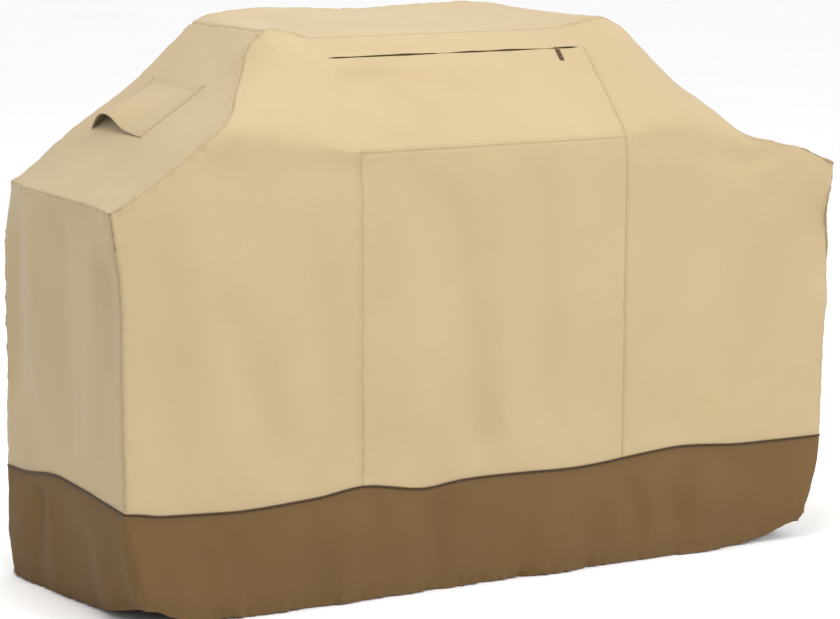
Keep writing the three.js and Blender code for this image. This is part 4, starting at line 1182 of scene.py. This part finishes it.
# ---- soft pieces that keep their CAD outline ----------------------------------------------
def tailored(node, slot, body, edge, cell, crumple, seed):
    """The node's own outline with rolled edges, cut into small cells and slightly crumpled."""
    obj = linked(node + "_sewn", frame["nodes"][node].data.copy())
    shape = bmesh.new()
    shape.from_mesh(obj.data)
    bmesh.ops.remove_doubles(shape, verts=shape.verts, dist=1e-6)
    bmesh.ops.dissolve_limit(shape, angle_limit=math.radians(1), verts=shape.verts,
                             edges=shape.edges)
    sharp = [e for e in shape.edges if e.is_manifold and e.calc_face_angle() > math.radians(25)]
    bmesh.ops.bevel(shape, geom=sharp, offset=edge, segments=3, profile=0.5, affect="EDGES")
    for _ in range(7):
        long_edges = [e for e in shape.edges if e.calc_length() > cell]
        if not long_edges:
            break
        bmesh.ops.subdivide_edges(shape, edges=long_edges, cuts=1, use_grid_fill=True)
    bmesh.ops.triangulate(shape, faces=[f for f in shape.faces if len(f.verts) > 4])
    shape.normal_update()
    shape.to_mesh(obj.data)
    shape.free()
    p = np.array([v.co for v in obj.data.vertices])
    n = np.array([v.normal for v in obj.data.vertices])
    s = p @ np.array([1.0, 0.7, 0.5])
    t = p @ np.array([-0.4, 1.0, 0.8])
    lump = ripple(s, [(0.11, 0.5), (0.047, 0.3)], seed)
    lump += ripple(t, [(0.083, 0.5), (0.031, 0.2)], seed + 1)
    p += n * (crumple * lump)[:, None]
    obj.data.vertices.foreach_set("co", p.reshape(-1))
    obj.data.update()
    return finished(obj, slot, body, [node])


def body_of(node):
    bodies = frame["record"]["behaviour"]["bodies"]
    return next(body for body, members in bodies.items() if node in members)


soft_copies = {
    "pocket_bag": ("lining", 0.0004, 0.02, 0.0008),
    "zip_tape_lower": ("zip_tape", 0.0002, 0.02, 0.00004),
    "zip_tape_upper": ("zip_tape", 0.0002, 0.02, 0.00004),
    "zip_pull_tab": ("pull_tab", 0.0005, 0.003, 0.00005),
    "drawcord_inner": ("elastic", 0.0002, 0.01, 0.00005),
    "drawcord_outer": ("elastic", 0.0002, 0.01, 0.00005),
    "drawcord_tab": ("webbing", 0.0008, 0.004, 0.0002),
}
for word in ("left", "right"):
    for half in ("socket", "plug"):
        soft_copies[f"strap_{half}_{word}"] = ("webbing", 0.0005, 0.004, 0.00015)
        soft_copies[f"strap_anchor_{half}_{word}"] = ("webbing", 0.0008, 0.004, 0.00015)
for number, (node, (slot, edge, cell, crumple)) in enumerate(soft_copies.items()):
    copied = tailored(node, slot, body_of(node), edge, cell, crumple, 60 + 2 * number)


# ---- vents --------------------------------------------------------------------------------
VENT_TOP, VENT_MOUTH = 0.560, 0.706
VENT_FRONT, VENT_BACK = -0.035, 0.220
VENT_RISE = 0.038


def drop_on(x, y):
    """The cloth's height below a point, and its normal there."""
    place, normal, _, _ = surface.ray_cast(Vector((x, y, 2)), Vector((0, 0, -1)))
    return np.array(place), np.array(normal)


def vent_hood(word, side):
    across, down = 61, 41
    points, places = [], []
    for i in range(down):
        u = i / (down - 1)
        for j in range(across):
            v = j / (across - 1)
            x = side * (VENT_TOP + (VENT_MOUTH - VENT_TOP) * u)
            y = VENT_FRONT + (VENT_BACK - VENT_FRONT) * v
            base, _ = drop_on(x, y)
            edge = min(v, 1 - v)
            dome = math.sin(math.pi * v ** 2.4)
            swell = u ** 1.15
            sag = 0.0012 * math.sin(5 * math.pi * v + side) * u ** 3 * smoothstep(edge * 6)
            pucker = 0.0012 * math.sin(math.pi * 26 * u + 5 * v) * math.exp(-(edge / 0.05) ** 2)
            pucker += 0.0014 * math.sin(math.pi * 30 * v) * math.exp(-(u / 0.09) ** 2)
            height = 0.0016 + VENT_RISE * dome * swell + sag + pucker * smoothstep(edge * 60)
            points.append(base + np.array([0, 0, 1]) * height)
            places.append((v * (VENT_BACK - VENT_FRONT), u * (VENT_MOUTH - VENT_TOP) * 1.2))
    faces = []
    for i in range(down - 1):
        for j in range(across - 1):
            a = i * across + j
            ring = (a, a + 1, a + across + 1, a + across)
            faces.append(ring if side < 0 else ring[::-1])
    points, faces = np.array(points), np.array(faces)
    if vertex_normals(points, faces)[:, 2].mean() < 0:
        faces = faces[:, ::-1]
    obj = new_object(f"vent_hood_{word}_cloth", points, faces)
    uv = np.array(places)[faces]
    lay_pattern(obj, uv)
    thicken(obj, 0.0014)
    finished(obj, "cloth_pale", "cover", [f"vent_hood_{word}"])
    grid = points.reshape(down, across, 3)
    out = vertex_normals(points, faces).reshape(down, across, 3)
    mouth = tube(f"vent_rim_{word}", grid[-1] - out[-1] * 0.0006, 0.0017, 8, False, (1.5, 0.8))
    finished(mouth, "cloth_pale", "cover")
    for row in (1, 3):
        pale_lines.append((grid[row], out[row]))
        pale_lines.append((grid[:, row], out[:, row]))
        pale_lines.append((grid[:, -1 - row], out[:, -1 - row]))
    pale_lines.append((grid[-4], out[-4]))
    for j in (0, across - 1):
        # a bar of zigzag stitches holds each corner
        zigzag = [(side * 0.0011 * (k - 4), 0.006 * (1 if k % 2 else -1), 0.002) for k in range(9)]
        pale_lines.append(projected(grid[0, j] + np.array(zigzag)))


def vent_mesh(word, side):
    """Open netting: real threads, seen through the hood's mouth."""
    low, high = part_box(f"vent_mesh_{word}")
    cell = 0.0035
    xs = np.linspace(low.x + 0.002, high.x - 0.002, int((high.x - low.x) / cell))
    ys = np.linspace(low.y + 0.002, high.y - 0.002, int((high.y - low.y) / cell))
    points = []
    for x in xs:
        for y in ys:
            base, normal = drop_on(x, y)
            points.append(base - normal * 0.0055)
    wide = len(ys)
    faces = [(i * wide + j, (i + 1) * wide + j, (i + 1) * wide + j + 1, i * wide + j + 1)
             for i in range(len(xs) - 1) for j in range(wide - 1)]
    obj = new_object(f"vent_netting_{word}", points, faces)
    net = obj.modifiers.new("Threads", "WIREFRAME")
    net.thickness = 0.0007
    net.use_even_offset = False
    finished(obj, "vent_mesh", "cover", [f"vent_mesh_{word}"])


for word, side in (("left", -1), ("right", 1)):
    vent_hood(word, side)
    vent_mesh(word, side)

stitched("seam_stitches_pale", pale_lines, THREAD_PALE, "cloth_pale")
stitched("seam_stitches_dark", dark_lines, THREAD_DARK, "cloth_dark")

# ---- moulded and metal parts keep their CAD shape -----------------------------------------
HARD = {"zip_stop_left": "zip_metal", "zip_stop_right": "zip_metal", "zip_slider": "zip_metal",
        "zip_pull_link": "zip_metal", "cord_lock_body": "buckle_plastic",
        "cord_lock_plunger": "buckle_plastic", "buckle_socket_left": "buckle_plastic",
        "buckle_socket_right": "buckle_plastic", "buckle_plug_left": "buckle_plastic",
        "buckle_plug_right": "buckle_plastic", "eyelet_inner": "steel", "eyelet_outer": "steel",
        "cord_lock_spring": "steel"}
for node, slot in HARD.items():
    obj = frame["nodes"][node]
    for holder in obj.material_slots:
        holder.material = FINISHES[slot]
    if node != "cord_lock_spring":
        rounding = obj.modifiers.new("Rounding", "BEVEL")
        rounding.width = 0.0003
        rounding.segments = 2
        rounding.limit_method = "ANGLE"
        rounding.angle_limit = math.radians(40)


# ---- light and floor ----------------------------------------------------------------------
bpy.context.scene.view_settings.view_transform = "Standard"


def add_light(name, place, target, size, power):
    data = bpy.data.lights.new(name, "AREA")
    data.shape = "RECTANGLE"
    data.size, data.size_y = size
    data.energy = power
    light = linked(name, data)
    light.location = place
    light.rotation_euler = (Vector(target) - Vector(place)).to_track_quat("-Z", "Y").to_euler()


add_light("key", (3.0, -7.0, 3.8), (0, 0, 0.6), (2.4, 2.4), 325)
add_light("top", (-0.9, -0.7, 4.7), (-0.1, 0, 0.7), (2.4, 2.0), 116)
world = bpy.data.worlds.new("studio")
bpy.context.scene.world = world
world.use_nodes = True
world.node_tree.nodes["Background"].inputs["Color"].default_value = (1, 1, 1, 1)
world.node_tree.nodes["Background"].inputs["Strength"].default_value = 1.0
floor = new_object("floor", [(-30, -30, 0), (30, -30, 0), (30, 30, 0), (-30, 30, 0)], [(0, 1, 2, 3)])
paint = Finish("floor", 0.7, specular=0.2)
paint.paint(srgb(250, 250, 250), paint.remap(paint.noise(1.5), 0.3, 0.7, 0.985, 1.0))
floor.data.materials.append(paint.material)
